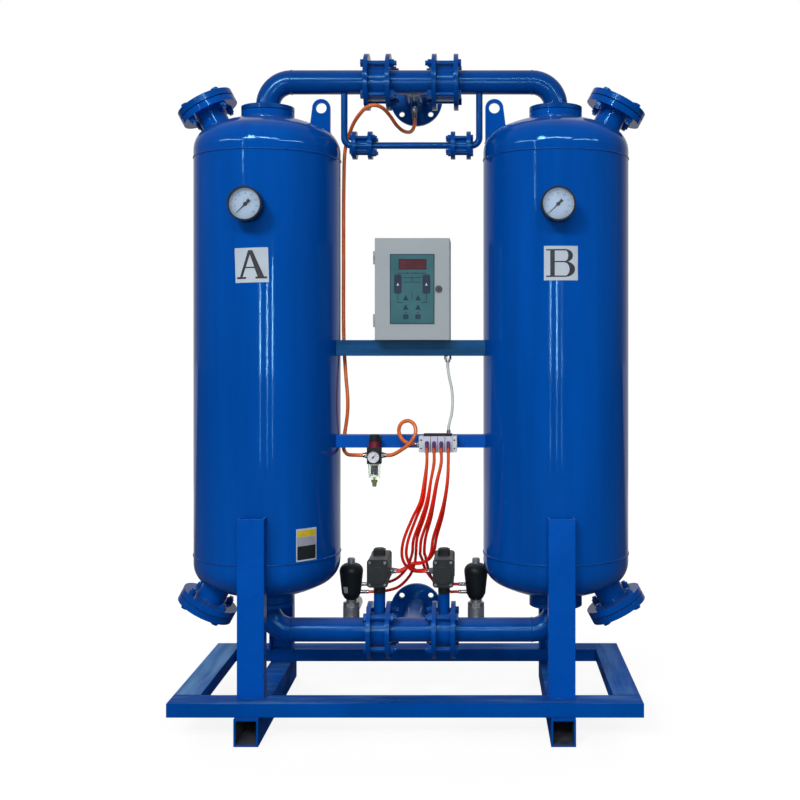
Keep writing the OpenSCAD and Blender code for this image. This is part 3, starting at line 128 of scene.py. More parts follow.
class Shade:
    """The nodes of a procedural material, in object coordinates."""

    def __init__(self, name):
        self.mat = bpy.data.materials.new(name)
        self.mat.use_nodes = True
        self.tree = self.mat.node_tree
        self.tree.nodes.clear()
        self.bsdf = self.add("BsdfPrincipled")
        self.link(self.bsdf.outputs[0], self.add("OutputMaterial").inputs[0])
        self.coords = self.add("TexCoord").outputs["Object"]

    def add(self, kind, **values):
        return new_node(self.tree, kind, **values)

    def link(self, a, b):
        self.tree.links.new(a, b)

    def calc(self, operation, a, b=0):
        return link_math(self.tree, operation, a, b)

    def ramp(self, value, low, high, out_low=0.0, out_high=1.0):
        return link_map(self.tree, value, low, high, out_low, out_high)

    def noise(self, scale, detail=4.0, stretch=None):
        node = self.add("TexNoise")
        for key, value in (("Scale", scale), ("Detail", detail), ("Roughness", NOISE_ROUGHNESS)):
            node.inputs[key].default_value = value
        source = self.coords
        if stretch:
            mapping = self.add("Mapping")
            mapping.inputs["Scale"].default_value = stretch
            self.link(self.coords, mapping.inputs["Vector"])
            source = mapping.outputs[0]
        self.link(source, node.inputs["Vector"])
        return node.outputs["Fac"]

    def patches(self, stretch=None):
        return self.noise(PATCH_SCALE, PATCH_DETAIL, stretch)

    def mix(self, factor, a, b):
        node = self.add("Mix", data_type="RGBA")
        self.link(factor, node.inputs[0])
        for value, index in ((a, MIX_A), (b, MIX_B)):
            if isinstance(value, (tuple, list)):
                node.inputs[index].default_value = (*value[:3], 1.0)
            else:
                self.link(value, node.inputs[index])
        return node.outputs[MIX_RESULT]

    def drifted(self, factor, color, drift):
        return self.mix(factor, scaled(color, 1 - drift), scaled(color, 1 + drift))

    def facing_up(self):
        normal = self.add("NewGeometry").outputs["Normal"]
        return split_vector(self.tree, normal)["Z"]

    def bump(self, height, strength, distance, edge=0.0):
        node = self.add("Bump")
        if edge:
            soft = self.add("Bevel", samples=4)
            soft.inputs["Radius"].default_value = edge
            self.link(soft.outputs[0], node.inputs["Normal"])
        node.inputs["Strength"].default_value = strength
        node.inputs["Distance"].default_value = distance
        self.link(height, node.inputs["Height"])
        self.link(node.outputs[0], self.bsdf.inputs["Normal"])


def material(name, color, rough=0.4, metallic=0.0, drift=0.10, drift_scale=4.0, mottle=0.06,
             mottle_scale=70.0, gloss_drift=0.08, bump=0.12, bump_scale=350.0, bump_depth=0.0004,
             dust=0.0, dust_color=(0.45, 0.47, 0.50), top_wear_and_reflection=None, stretch=None, transmission=0.0,
             ior=1.45, specular=0.5, shine=(1.0, 1.0, 1.0), edge=0.0, lower=None,
             lower_z=(0.0, 1.0)):
    """Broad colour drift, fine mottling, uneven gloss, a bump, and dust on what faces up.

    Colours are linear. top_wear_and_reflection lays the dust, and any painted reflection, in a
    pattern of its own, edge is the radius in metres over which sharp edges catch light, lower a
    second colour that takes over between two heights.
    """
    shade = Shade(name)
    broad = shade.ramp(shade.noise(drift_scale, stretch=stretch), 0.3, 0.7)
    body = shade.drifted(broad, color, drift)
    if lower:
        change = shade.ramp(split_vector(shade.tree, shade.coords)["Z"], *lower_z)
        body = shade.mix(change, shade.drifted(broad, lower, drift), body)
    fine = shade.ramp(shade.noise(mottle_scale, 3.0), 0.35, 0.75, 0.0, mottle)
    body = shade.mix(fine, body, scaled(color, 0.45))
    if dust:
        up = shade.ramp(shade.facing_up(), 0.55, 1.0)
        if top_wear_and_reflection:
            patch = top_wear_and_reflection(shade, dust)
        else:
            patch = shade.ramp(shade.patches(), 0.3, 0.75, 0.45 * dust, dust)
        body = shade.mix(shade.calc("MULTIPLY", up, patch), body, dust_color)
    shade.link(body, shade.bsdf.inputs["Base Color"])
    gloss = shade.ramp(shade.noise(GLOSS_SCALE, 5.0), 0.3, 0.7,
                       max(0.02, rough - gloss_drift), rough + gloss_drift)
    shade.link(gloss, shade.bsdf.inputs["Roughness"])
    if bump:
        shade.bump(shade.noise(bump_scale, 2.0, stretch), bump, bump_depth, edge)
    for key, value in (("Metallic", metallic), ("Specular IOR Level", specular),
                       ("Specular Tint", (*shine, 1.0)), ("Transmission Weight", transmission),
                       ("IOR", ior)):
        shade.bsdf.inputs[key].default_value = value
    return shade.mat


# Where the base rails lie, in metres, for the wear and painted reflection on their tops
SIDE_RAIL_X = 0.65
SIDE_RAIL_EDGE = 0.615
FRONT_RAIL_EDGE = -0.24


def rail_wear(shade, most):
    """Wear streaks along each rail's top, and a painted reflection that leaves the left side rail
    palest.
    """
    place = split_vector(shade.tree, shade.coords)
    x, y = place["X"], place["Y"]
    beside = shade.calc("GREATER_THAN", shade.calc("ABSOLUTE", x), SIDE_RAIL_EDGE)
    beside = shade.calc("MULTIPLY", beside, shade.calc("GREATER_THAN", y, FRONT_RAIL_EDGE))
    on_side = shade.ramp(shade.patches((4.0, 0.35, 1.0)), 0.36, 0.66, 0.0, most)
    # Painted reflection: the left side rail's top is made paler, as if it mirrored the white
    # background.
    left_reflection = shade.ramp(x, -SIDE_RAIL_X, SIDE_RAIL_X, 0.42, 0.06)
    weaker = shade.ramp(x, -SIDE_RAIL_X, SIDE_RAIL_X, 0.98, 0.62)
    on_side = shade.calc("MULTIPLY", shade.calc("ADD", on_side, left_reflection), weaker)
    on_long = shade.ramp(shade.patches((0.45, 3.0, 1.0)), 0.48, 0.70, 0.04, 0.7 * most)
    other = shade.calc("SUBTRACT", 1, beside)
    return shade.calc("ADD", shade.calc("MULTIPLY", beside, on_side),
                      shade.calc("MULTIPLY", other, on_long))


# Materials
SKY = (0.30, 0.72, 1.0)
BLUE = (0.0002, 0.0650, 0.350)
PIPE = dict(rough=0.18, drift=0.14, drift_scale=9.0, mottle=0.08, mottle_scale=120.0,
            gloss_drift=0.05, bump=0.08, bump_scale=160.0, bump_depth=0.0005, dust=0.12, shine=SKY,
            edge=0.0012)
BAR = dict(rough=0.30, mottle=0.07, mottle_scale=90.0, bump=0.10, bump_scale=220.0, specular=0.16,
           shine=SKY)
DIAL = dict(rough=0.5, drift=0.04, mottle=0.03, bump=0.02, specular=0.2)
INK = dict(rough=0.5, drift=0.2, bump=0.02)
PRINT = dict(bump=0.05, specular=0.12)
BAND = dict(drift_scale=60.0, bump=0.05, specular=0.3)
TUBE = dict(rough=0.28, mottle=0.08, mottle_scale=160.0, bump=0.05, transmission=0.08)
PORT = dict(rough=0.35, drift=0.3, drift_scale=90.0, bump=0.05)

paint_vessel = material(
    "blue_enamel_vessel", BLUE, rough=0.075, drift=0.16, drift_scale=1.6, mottle=0.05,
    gloss_drift=0.02, bump=0.011, bump_scale=45.0, bump_depth=0.001, dust=0.08, specular=0.32,
    shine=SKY, stretch=(7.0, 7.0, 0.5))
# The pipework paints are darker copies of the tower blue, painted shade; the top pipework's is
# darkest.
paint_pipe_shaded = material("blue_enamel_pipe_shaded", scaled(BLUE, 0.86), specular=0.32, **PIPE)
paint_top_shaded = material("blue_enamel_top_shaded", scaled(BLUE, 0.68), specular=0.35, **PIPE)
# The rail tops' pale dust colour is part dust, part painted reflection.
paint_frame = material(
    "blue_enamel_frame", (0.0005, 0.064, 0.335), rough=0.34, drift=0.14, drift_scale=5.0,
    mottle=0.10, mottle_scale=90.0, bump=0.12, bump_scale=220.0, bump_depth=0.0005, dust=0.70,
    top_wear_and_reflection=rail_wear, dust_color=(0.110, 0.264, 0.510), specular=0.012, shine=SKY, edge=0.005)
# The upper crossbar's paint is darker than the rest of the frame: painted shade from the cabinet
# that overhangs it.
paint_bar_shaded = material(
    "blue_enamel_bar_shaded", (0.005, 0.052, 0.165), drift=0.28, drift_scale=3.0, dust=0.3, edge=0.004,
    stretch=(1.0, 14.0, 14.0), **BAR)
paint_post = material(
    "blue_enamel_post", (0.0002, 0.073, 0.410), drift_scale=5.0, dust=0.2, edge=0.003, **BAR)
paint_weld = material(
    "blue_enamel_weld", scaled(BLUE, 0.85), rough=0.32, drift=0.2, drift_scale=60.0, mottle=0.15,
    bump=0.6, bump_scale=260.0, bump_depth=0.0012, specular=0.4, shine=SKY)
tube_inside = material(
    "tube_inside", (0.050, 0.056, 0.074), rough=0.7, drift=0.3, drift_scale=30.0, bump=0.3,
    specular=0.1)
joint_dark = material(
    "joint_dark", (0.002, 0.012, 0.055), rough=0.6, drift=0.3, drift_scale=40.0, bump=0.3)
gasket = material(
    "gasket_rubber", (0.012, 0.012, 0.013), rough=0.75, drift=0.25, drift_scale=30.0, bump=0.4)
black_enamel = material(
    "black_enamel", (0.004, 0.007, 0.014), rough=0.36, drift=0.2, drift_scale=20.0, bump=0.1,
    specular=0.2)
dial_white = material("dial_white", (0.34, 0.44, 0.575), **DIAL)
small_dial = material("small_dial", (0.66, 0.68, 0.72), **DIAL)
ink = material("dial_ink", (0.016, 0.018, 0.024), **INK)
pale_ink = material("pale_ink", (0.10, 0.115, 0.15), **INK)
black_plastic = material(
    "black_plastic", (0.010, 0.012, 0.014), rough=0.42, drift=0.25, drift_scale=14.0, mottle=0.2,
    bump=0.35, bump_scale=900.0, bump_depth=0.0003, dust=0.12, specular=0.25, edge=0.001)
matt_black = material(
    "matt_black", (0.0075, 0.0115, 0.014), rough=0.45, drift=0.2, drift_scale=14.0, mottle=0.15,
    bump=0.3, bump_scale=900.0, bump_depth=0.0003, dust=0.08, specular=0.22)
dark_casting = material(
    "dark_casting", (0.022, 0.026, 0.030), rough=0.5, drift=0.2, drift_scale=12.0, mottle=0.25,
    mottle_scale=240.0, bump=0.45, bump_scale=700.0, dust=0.85, dust_color=(0.165, 0.170, 0.178),
    specular=0.22, edge=0.002)
steel = material(
    "satin_steel", (0.36, 0.36, 0.355), rough=0.26, metallic=0.95, drift=0.18, drift_scale=24.0,
    mottle=0.2, mottle_scale=150.0, bump=0.25, bump_scale=300.0, edge=0.001)
cast_steel = material(
    "cast_steel", (0.30, 0.305, 0.31), rough=0.36, metallic=0.65, drift=0.22, drift_scale=40.0,
    mottle=0.3, mottle_scale=200.0, bump=0.4, bump_scale=500.0, edge=0.001)
fitting_steel = material(
    "fitting_steel", (0.27, 0.28, 0.30), rough=0.28, metallic=0.95, drift=0.12, drift_scale=40.0,
    mottle=0.15, bump=0.15, edge=0.0008)
lock_metal = material(
    "lock_metal", (0.055, 0.057, 0.062), rough=0.45, metallic=0.2, drift=0.2, drift_scale=90.0,
    mottle=0.15, bump=0.15, specular=0.2)
bright_steel = material(
    "bright_steel", (0.60, 0.61, 0.62), rough=0.22, metallic=1.0, drift_scale=40.0, mottle=0.1,
    bump=0.15)
cabinet_paint = material(
    "cabinet_paint", (0.300, 0.345, 0.370), rough=0.5, drift=0.05, drift_scale=3.0, mottle=0.05,
    mottle_scale=180.0, bump=0.25, bump_scale=1400.0, bump_depth=0.0002, dust=0.08, specular=0.3,
    edge=0.0025)
panel_film = material(
    "panel_film", (0.038, 0.130, 0.150), rough=0.42, drift=0.14, drift_scale=12.0, mottle=0.05,
    bump=0.06, specular=0.12)
panel_edge = material("panel_edge", (0.012, 0.042, 0.072), **PRINT)
panel_dark = material(
    "panel_dark", (0.020, 0.030, 0.062), rough=0.35, drift=0.15, drift_scale=60.0, **PRINT)
panel_line = material("panel_line", (0.009, 0.038, 0.058), **PRINT)
panel_light = material("panel_light", (0.42, 0.50, 0.56), **PRINT)
window_red = material(
    "window_red", (0.080, 0.014, 0.022), rough=0.28, drift=0.25, drift_scale=30.0, bump=0.03,
    specular=0.12)
window_edge = material("window_edge", (0.022, 0.017, 0.028), rough=0.35, **PRINT)
plate_white = material(
    "plate_white", (0.42, 0.49, 0.565), rough=0.5, drift=0.06, drift_scale=14.0, mottle=0.04,
    bump=0.08, specular=0.25)
plate_ink = material(
    "plate_ink", (0.027, 0.030, 0.041), rough=0.5, drift=0.3, drift_scale=120.0, mottle=0.35,
    mottle_scale=500.0, bump=0.05, specular=0.25)
band_yellow = material("band_yellow", (0.56, 0.42, 0.020), drift=0.12, **BAND)
band_grey = material("band_grey", (0.30, 0.31, 0.38), rough=0.45, **BAND)
band_dark = material("band_dark", (0.012, 0.016, 0.018), drift=0.2, **BAND)
red_tube = material(
    "red_tube", (0.70, 0.090, 0.014), drift=0.16, drift_scale=7.0, lower=(0.86, 0.014, 0.001),
    lower_z=(0.70, 0.83), **TUBE)
orange_tube = material("orange_tube", (0.68, 0.140, 0.024), drift=0.18, drift_scale=5.0, **TUBE)
grey_cable = material("grey_cable", (0.50, 0.54, 0.53), rough=0.5, drift=0.08, drift_scale=30.0)
knob_black = material(
    "knob_black", (0.009, 0.009, 0.011), rough=0.5, drift=0.2, drift_scale=60.0, bump=0.2,
    specular=0.35)
bonnet_red = material(
    "bonnet_red", (0.150, 0.009, 0.026), drift=0.25, drift_scale=60.0, bump=0.1, specular=0.35)
needle_blue = material("needle_blue", (0.012, 0.040, 0.220), bump=0.05)
valve_white = material(
    "valve_white", (0.54, 0.55, 0.70), rough=0.42, drift=0.08, drift_scale=40.0, bump=0.15,
    specular=0.3, edge=0.001)
manifold_metal = material(
    "manifold_metal", (0.50, 0.53, 0.57), metallic=0.2, drift_scale=30.0, mottle=0.1, bump=0.2,
    edge=0.001)
port_purple = material("port_purple", (0.085, 0.022, 0.120), **PORT)
port_red = material("port_red", (0.120, 0.012, 0.016), **PORT)
element_dark = material(
    "element_dark", (0.040, 0.020, 0.085), rough=0.7, drift=0.25, drift_scale=80.0, bump=0.6,
    bump_scale=900.0, bump_depth=0.0006)
element_white = material("element_white", (0.60, 0.60, 0.62), rough=0.55, drift=0.05, bump=0.1)
beads = material(
    "desiccant_beads", (0.75, 0.74, 0.70), rough=0.8, drift=0.08, bump=0.9, bump_scale=220.0,
    bump_depth=0.003)
clear_bowl = material(
    "clear_bowl", (0.84, 0.91, 0.82), rough=0.06, drift=0.06, mottle=0.0, gloss_drift=0.03,
    bump=0.04, transmission=0.97, ior=1.22)
drain_green = material(
    "drain_green", (0.20, 0.27, 0.10), rough=0.25, drift=0.15, drift_scale=60.0, bump=0.08,
    transmission=0.35, ior=1.4)
clear_lens = material(
    "clear_lens", (0.97, 0.98, 0.99), rough=0.03, drift=0.01, mottle=0.0, gloss_drift=0.01,
    bump=0.0, transmission=1.0, ior=1.08)
clear_dome = material(
    "clear_dome", (0.66, 0.70, 0.72), rough=0.12, metallic=0.55, drift=0.05, mottle=0.05,
    gloss_drift=0.04, bump=0.05, transmission=0.6, ior=1.4)


# CAD nodes: a finish for each node, then for regions of a node that shows several
def dress(names, mat):
    for name in names:
        mesh = nodes[name].data
        mesh.materials.clear()
        mesh.materials.append(mat)
        for poly in mesh.polygons:
            poly.material_index = 0


def dress_part(name, mat, test):
    """Another material for the faces whose centre (in millimetres) and normal pass the test."""
    mesh = nodes[name].data
    mesh.materials.append(mat)
    index = len(mesh.materials) - 1
    for poly in mesh.polygons:
        if test(poly.center / MM, poly.normal):
            poly.material_index = index


FINISHES = (
    (paint_vessel, "vessel_a vessel_b"),
    (paint_pipe_shaded, "port_covers port_bolts bottom_spool_a bottom_spool_b inlet_tee butterfly_bodies "
                 "flange_bolts"),
    (paint_top_shaded, "top_spool_a top_spool_b outlet_tee check_valve_bodies purge_pipe "
                "purge_orifices"),
    (paint_frame, "skid_tubes base_rails"),
    (paint_bar_shaded, "upper_crossbar"),
    (paint_post, "vessel_posts lower_crossbar"),
    (gasket, "flange_gaskets"),
    (beads, "desiccant_beds"),
    (steel, "bed_screens check_disc_a check_disc_b butterfly_disc_a butterfly_disc_b "
            "exhaust_stem_a exhaust_stem_b silencers"),
    (cast_steel, "exhaust_valve_bodies"),
    (fitting_steel, "tube_fittings"),
    (lock_metal, "door_lock"),
    (black_enamel, "gauge_cases"),
    (dial_white, "gauge_dials"),
    (clear_lens, "gauge_lenses"),
    (ink, "gauge_pointer_a gauge_pointer_b"),
    (black_plastic, "position_indicator_a position_indicator_b controller_module"),
    (matt_black, "exhaust_actuators"),
    (dark_casting, "actuator_housings actuator_end_caps"),
    (clear_dome, "exhaust_domes"),
    (clear_bowl, "filter_bowl"),
    (drain_green, "bowl_drain"),
    (cabinet_paint, "cabinet cabinet_door"),
    (panel_film, "control_panel"),
    (black_plastic, "regulator_body"),
    (knob_black, "regulator_knob"),
    (needle_blue, "regulator_pointer"),
    (element_white, "filter_element"),
    (manifold_metal, "valve_manifold"),
    (valve_white, "solenoid_valves"))
for mat, names in FINISHES:
    dress(names.split(), mat)

# Bounds of the regions, a little outside their faces
SKIN = 0.05
MID_HEIGHT = 1500
BORE_HALF, BORE_LOW, BORE_TOP = 30.5, 5.5, 74.5
BONNET_R, BONNET_LOW, BONNET_TOP = 18.5, 845.5, 862.5
DIAL_R, DIAL_BACK, FACES_FRONT = 18, SMALL_DIAL_Y + 0.5, -0.9
BAND_LOW, BAND_TOP = 760.5, 789.5
PORTS_LEFT, PORTS_RIGHT, PORTS_TOP = 40, 135, 872
RED_FRONT, RED_TOP = -130.8, 852
CAP_FRONT, CAP_SCREW_X, CAP_SCREW_Z, CAP_SCREW_R = -78, 24, 35, 6


def in_bore(c, n):
    return abs(abs(c.x) - TOWER_X) < BORE_HALF and BORE_LOW < c.z < BORE_TOP


def in_bonnet(c, n):
    away = math.hypot(c.x - REGULATOR_X, c.y - REGULATOR_Y)
    return BONNET_LOW < c.z < BONNET_TOP and away < BONNET_R


def in_small_dial(c, n):
    away = math.hypot(c.x - REGULATOR_X, c.z - SMALL_DIAL_Z)
    return c.y < DIAL_BACK and n.y < FACES_FRONT and away < DIAL_R


def in_port(c, n):
    return PORTS_LEFT < c.x < PORTS_RIGHT and c.y < VALVE_FRONT - SKIN and c.z < PORTS_TOP


def in_red_port(c, n):
    return in_port(c, n) and RED_FRONT < c.y and c.z < RED_TOP


def in_cap_screw(c, n):
    across = abs(abs(abs(c.x) - ACTUATOR_X) - CAP_SCREW_X)
    up = abs(abs(c.z - ACTUATOR_Z) - CAP_SCREW_Z)
    return c.y < CAP_FRONT - SKIN and max(across, up) < CAP_SCREW_R


# The upper flanges' bolts take the top pipework's painted shade.
dress_part("flange_bolts", paint_top_shaded, lambda c, n: c.z > MID_HEIGHT)
dress_part("skid_tubes", tube_inside, in_bore)
dress_part("regulator_body", bonnet_red, in_bonnet)
dress_part("regulator_body", small_dial, in_small_dial)
dress_part("filter_element", element_dark, lambda c, n: BAND_LOW < c.z < BAND_TOP)
dress_part("solenoid_valves", black_plastic, lambda c, n: c.z > VALVE_TOP + SKIN)
dress_part("tube_fittings", port_purple, in_port)
dress_part("tube_fittings", port_red, in_red_port)
dress_part("actuator_end_caps", bright_steel, in_cap_screw)
for node in nodes.values():
    node.data.update()


# Tubes and cable: the routes of the CAD solids, in metres
def spline_point(a, b, c, d, t):
    return 0.5 * (2 * b + (c - a) * t + (2 * a - 5 * b + 4 * c - d) * t * t
                  + (3 * b - a - 3 * c + d) * t ** 3)


def smooth_route(points, steps=8):
    p = [Vector(q) for q in points]
    out = []
    for i in range(len(p) - 1):
        a, d = p[max(i - 1, 0)], p[min(i + 2, len(p) - 1)]
        out += [spline_point(a, p[i], p[i + 1], d, k / steps) for k in range(steps)]
    return out + [p[-1]]


def cord(name, points, diameter, mat, node):
    line = smooth_route(points)
    curve = bpy.data.curves.new(name, "CURVE")
    curve.dimensions = "3D"
    curve.bevel_depth = diameter / 2
    curve.bevel_resolution = 4
    curve.use_fill_caps = True
    spline = curve.splines.new("POLY")
    spline.points.add(len(line) - 1)
    for point, place in zip(spline.points, line):
        point.co = (*place, 1)
    spline.use_smooth = True
    curve.materials.append(mat)
    obj = bpy.data.objects.new(name, curve)
    scene.collection.objects.link(obj)
    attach(obj, "dryer")
    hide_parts(node)
    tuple(line[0])


SUPPLY = [
    (0, .150, 1.9189), (0, .150, 1.895), (-.010, .122, 1.868), (-.030, .075, 1.860),
    (-.050, .030, 1.870), (-.068, -.010, 1.892), (-.088, -.050, 1.909), (-.113, -.071, 1.914),
    (-.139, -.067, 1.907), (-.163, -.044, 1.890), (-.185, -.010, 1.869), (-.201, .020, 1.843),
    (-.213, .030, 1.812), (-.219, .032, 1.770), (-.221, .032, 1.700), (-.222, .032, 1.600),
    (-.222, .032, 1.500), (-.222, .032, 1.400), (-.222, .030, 1.300), (-.221, .026, 1.210),
    (-.218, .018, 1.140), (-.211, .004, 1.060), (-.205, -.002, .995), (-.206, .002, .945),
    (-.213, .008, .895), (-.219, .008, .857), (-.217, -.006, .831), (-.206, -.036, .820),
    (-.194, -.064, .818), (-.181, -.084, .819), (-.167, -.096, .820), (-.156, -.100, .820),
    (-.146, -.100, .820)]
LOOP = [
    (-.074, -.100, .820), (-.060, -.100, .820), (-.044, -.103, .826), (-.022, -.110, .840),
    (-.002, -.116, .855), (.013, -.118, .876), (.019, -.113, .898), (.012, -.105, .918),
    (-.006, -.097, .927), (-.026, -.091, .919), (-.035, -.088, .899), (-.030, -.088, .877),
    (-.016, -.090, .861), (.002, -.092, .854), (.0144, -.092, .854)]
CABLE = [
    (.116, -.030, 1.108), (.116, -.030, 1.090), (.121, -.039, 1.060), (.129, -.056, 1.024),
    (.132, -.072, .986), (.130, -.085, .950), (.124, -.094, .924), (.1204, -.097, .908),
    (.1204, -.097, .898)]
CONTROL = {
    "inlet_b_1": [
        (.0544, -.136, .846), (.0544, -.136, .800), (.046, -.136, .740), (.034, -.130, .680),
        (.008, -.118, .625), (-.018, -.102, .560), (-.026, -.084, .510), (-.018, -.062, .474),
        (.004, -.036, .449), (.024, -.017, .441), (.038, -.012, .440), (.048, -.012, .440)],
    "inlet_b_2": [
        (.0544, -.125, .828), (.0544, -.125, .796), (.050, -.124, .740), (.042, -.118, .680),
        (.020, -.106, .625), (-.004, -.090, .560), (-.013, -.072, .512), (-.007, -.048, .476),
        (.005, -.020, .453), (.013, -.004, .443), (.025, .007, .440), (.037, .012, .440),
        (.048, .012, .440)],
    "exhaust_a_1": [
        (.0764, -.136, .846), (.0764, -.136, .800), (.066, -.136, .740), (.054, -.130, .680),
        (.036, -.116, .625), (.012, -.092, .560), (.006, -.058, .516), (.002, -.020, .498),
        (-.004, .016, .478), (-.018, .050, .440), (-.054, .080, .398), (-.102, .097, .377),
        (-.132, .100, .375), (-.148, .100, .375)],
    "exhaust_a_2": [
        (.0764, -.125, .828), (.0764, -.125, .796), (.066, -.123, .740), (.058, -.117, .680),
        (.044, -.103, .625), (.022, -.077, .560), (.016, -.042, .508), (.013, -.006, .488),
        (.007, .028, .458), (-.010, .060, .412), (-.050, .088, .368), (-.104, .099, .351),
        (-.132, .100, .350), (-.148, .100, .350)],
    "exhaust_b_1": [
        (.0984, -.136, .846), (.0984, -.136, .800), (.084, -.135, .740), (.072, -.129, .680),
        (.058, -.115, .625), (.036, -.090, .560), (.030, -.056, .514), (.028, -.020, .496),
        (.032, .016, .474), (.042, .052, .432), (.070, .088, .388), (.112, .099, .376),
        (.136, .100, .375), (.148, .100, .375)],
    "exhaust_b_2": [
        (.0984, -.125, .828), (.0984, -.125, .796), (.086, -.121, .740), (.076, -.114, .680),
        (.066, -.100, .625), (.048, -.074, .560), (.042, -.040, .508), (.044, -.004, .486),
        (.048, .030, .452), (.060, .063, .404), (.088, .090, .366), (.118, .099, .351),
        (.136, .100, .350), (.148, .100, .350)],
    "inlet_a_1": [
        (.1204, -.136, .846), (.1204, -.136, .800), (.117, -.134, .740), (.107, -.126, .680),
        (.092, -.108, .625), (.072, -.080, .560), (.064, -.056, .510), (.050, -.038, .482),
        (.028, -.022, .468), (.006, -.012, .464), (-.010, -.011, .456), (-.024, -.012, .446),
        (-.037, -.012, .440), (-.048, -.012, .440)],
    "inlet_a_2": [
        (.1204, -.125, .828), (.1204, -.125, .796), (.118, -.121, .740), (.110, -.112, .680),
        (.100, -.094, .625), (.082, -.064, .560), (.073, -.038, .512), (.058, -.020, .483),
        (.034, -.004, .468), (.008, .008, .463), (-.009, .011, .456), (-.024, .012, .446),
        (-.037, .012, .440), (-.048, .012, .440)]}
AIR_TUBE, CONTROL_TUBE, LEAD = 0.012, 0.0095, 0.009
cord("supply_hose", SUPPLY, AIR_TUBE, orange_tube, "supply_tube")
cord("loop_hose", LOOP, AIR_TUBE, orange_tube, "loop_tube")
cord("signal_lead", CABLE, LEAD, grey_cable, "signal_cable")
for key, points in CONTROL.items():
    cord("hose_" + key, points, CONTROL_TUBE, red_tube, "control_tubes")


# Mesh pieces, drawn in millimetres
def thicken(obj, thick):
    solid = obj.modifiers.new("thickness", "SOLIDIFY")
    solid.thickness = thick * MM
    solid.offset = 0


def piece(name, verts, faces, mat, body="dryer", smooth=False, thick=0.0):
    """A mesh on a body; thick turns a sheet into a closed plate of that thickness."""
    mesh = bpy.data.meshes.new(name)
    mesh.from_pydata([tuple(MM * c for c in v) for v in verts], [], faces)
    mesh.validate()
    bm = bmesh.new()
    bm.from_mesh(mesh)
    if thick:
        bmesh.ops.remove_doubles(bm, verts=bm.verts, dist=0.00001)
    bmesh.ops.recalc_face_normals(bm, faces=bm.faces)
    bm.to_mesh(mesh)
    bm.free()
    mesh.materials.append(mat)
    for poly in mesh.polygons:
        poly.use_smooth = smooth
    obj = bpy.data.objects.new(name, mesh)
    scene.collection.objects.link(obj)
    if thick:
        thicken(obj, thick)
    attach(obj, body)


def sweep(lines, radius, sides=8, closed=True):
    """Round beads along several lines of points, as one list of corners and faces."""
    verts, faces = [], []
    for line in lines:
        line = [Vector(p) for p in line]
        n = len(line)
        first = len(verts)
        side = None
        for i, p in enumerate(line):
            ahead = line[(i + 1) % n] if closed or i < n - 1 else p
            behind = line[i - 1] if closed or i > 0 else p
            t = (ahead - behind).normalized()
            if side is None:
                side = t.orthogonal().normalized()
            side = (side - side.dot(t) * t).normalized()
            other = t.cross(side)
            for k in range(sides):
                a = 2 * math.pi * k / sides
                verts.append(p + radius * (side * math.cos(a) + other * math.sin(a)))
        spans = n if closed else n - 1
        for i in range(spans):
            j = (i + 1) % n
            here, there = first + i * sides, first + j * sides
            twist = 0
            if closed and j == 0:
                start = verts[first]
                twist = min(range(sides), key=lambda k: (verts[here + k] - start).length)
            for k in range(sides):
                a = here + (k + twist) % sides
                b = here + (k + 1 + twist) % sides
                faces.append((a, b, there + (k + 1) % sides, there + k))
        if not closed:
            faces.append(tuple(first + k for k in range(sides)))
            faces.append(tuple(first + (n - 1) * sides + k for k in range(sides)))
    return verts, faces


def circle(centre, axis, radius, n):
    axis = Vector(axis).normalized()
    u = axis.orthogonal().normalized()
    v = axis.cross(u)
    c = Vector(centre)
    turns = [2 * math.pi * i / n for i in range(n)]
    return [c + radius * (u * math.cos(a) + v * math.sin(a)) for a in turns]


# Weld beads on the towers and the pipework
def head_outside(p):
    """Above zero outside a tower standing on the origin, with the head above height 0."""
    r = math.hypot(p.x, p.y)
    if p.z <= HEAD_SKIRT:
        return r - TOWER_R
    knuckle = Vector((TOWER_R - KNUCKLE_R, 0))
    crown = Vector((0, HEAD_H - CROWN_R))
    q = Vector((r, p.z - HEAD_SKIRT))
    way = (knuckle - crown).normalized()
    across = way.x * (q.y - crown.y) - way.y * (q.x - crown.x)
    if across > 0:
        return (q - crown).length - CROWN_R
    return (q - knuckle).length - KNUCKLE_R


def on_head(start, way):
    """The point where a ray from inside the head leaves it, found by halving."""
    low, high = 0.0, 400.0
    for _ in range(40):
        mid = (low + high) / 2
        if head_outside(start + way * mid) > 0:
            high = mid
        else:
            low = mid
    return start + way * low


PORT_TILT = math.radians(28)
PORT_AXIS = Vector((-math.sin(PORT_TILT), 0, math.cos(PORT_TILT)))
PORT_FOOT = Vector((-104, 0, 0))
PORT_FLANGE = PORT_FOOT + PORT_AXIS * 168
PORT_R, PORT_FLANGE_R = 44.5, 45.5
NECK_R, NECK_START = 84, (0, 0, 20)
LUG_HALF, LUG_LENGTH, LUG_STEPS, LUG_START = 6, 75, 12, -60
LUG_NEAR = {"a": 125, "b": 150}
NOZZLE_BEAD, SEAM_BEAD, PIPE_BEAD, JOINT_LINE = 3.2, 3.0, 2.2, 1.2
SEAM_R = TOWER_R - 0.6
ELBOW_X, ELBOW_Z, ELBOW_R = 76, 79, 37.6
TOP_FLANGE_X, LOW_FLANGE_X, TEE_X, PIPE_R = 149, 140, 66, 38.2
FOOT_HALF, FOOT_NEAR, FOOT_FAR = 40, 236, 271
FRONT_JOINT_Y, FRONT_JOINT_X = -240, (616, 694)
REAR_JOINT_X, REAR_JOINT_Y = 615, (241, 319)
JOINT_Z = RAIL_TOP - 0.1


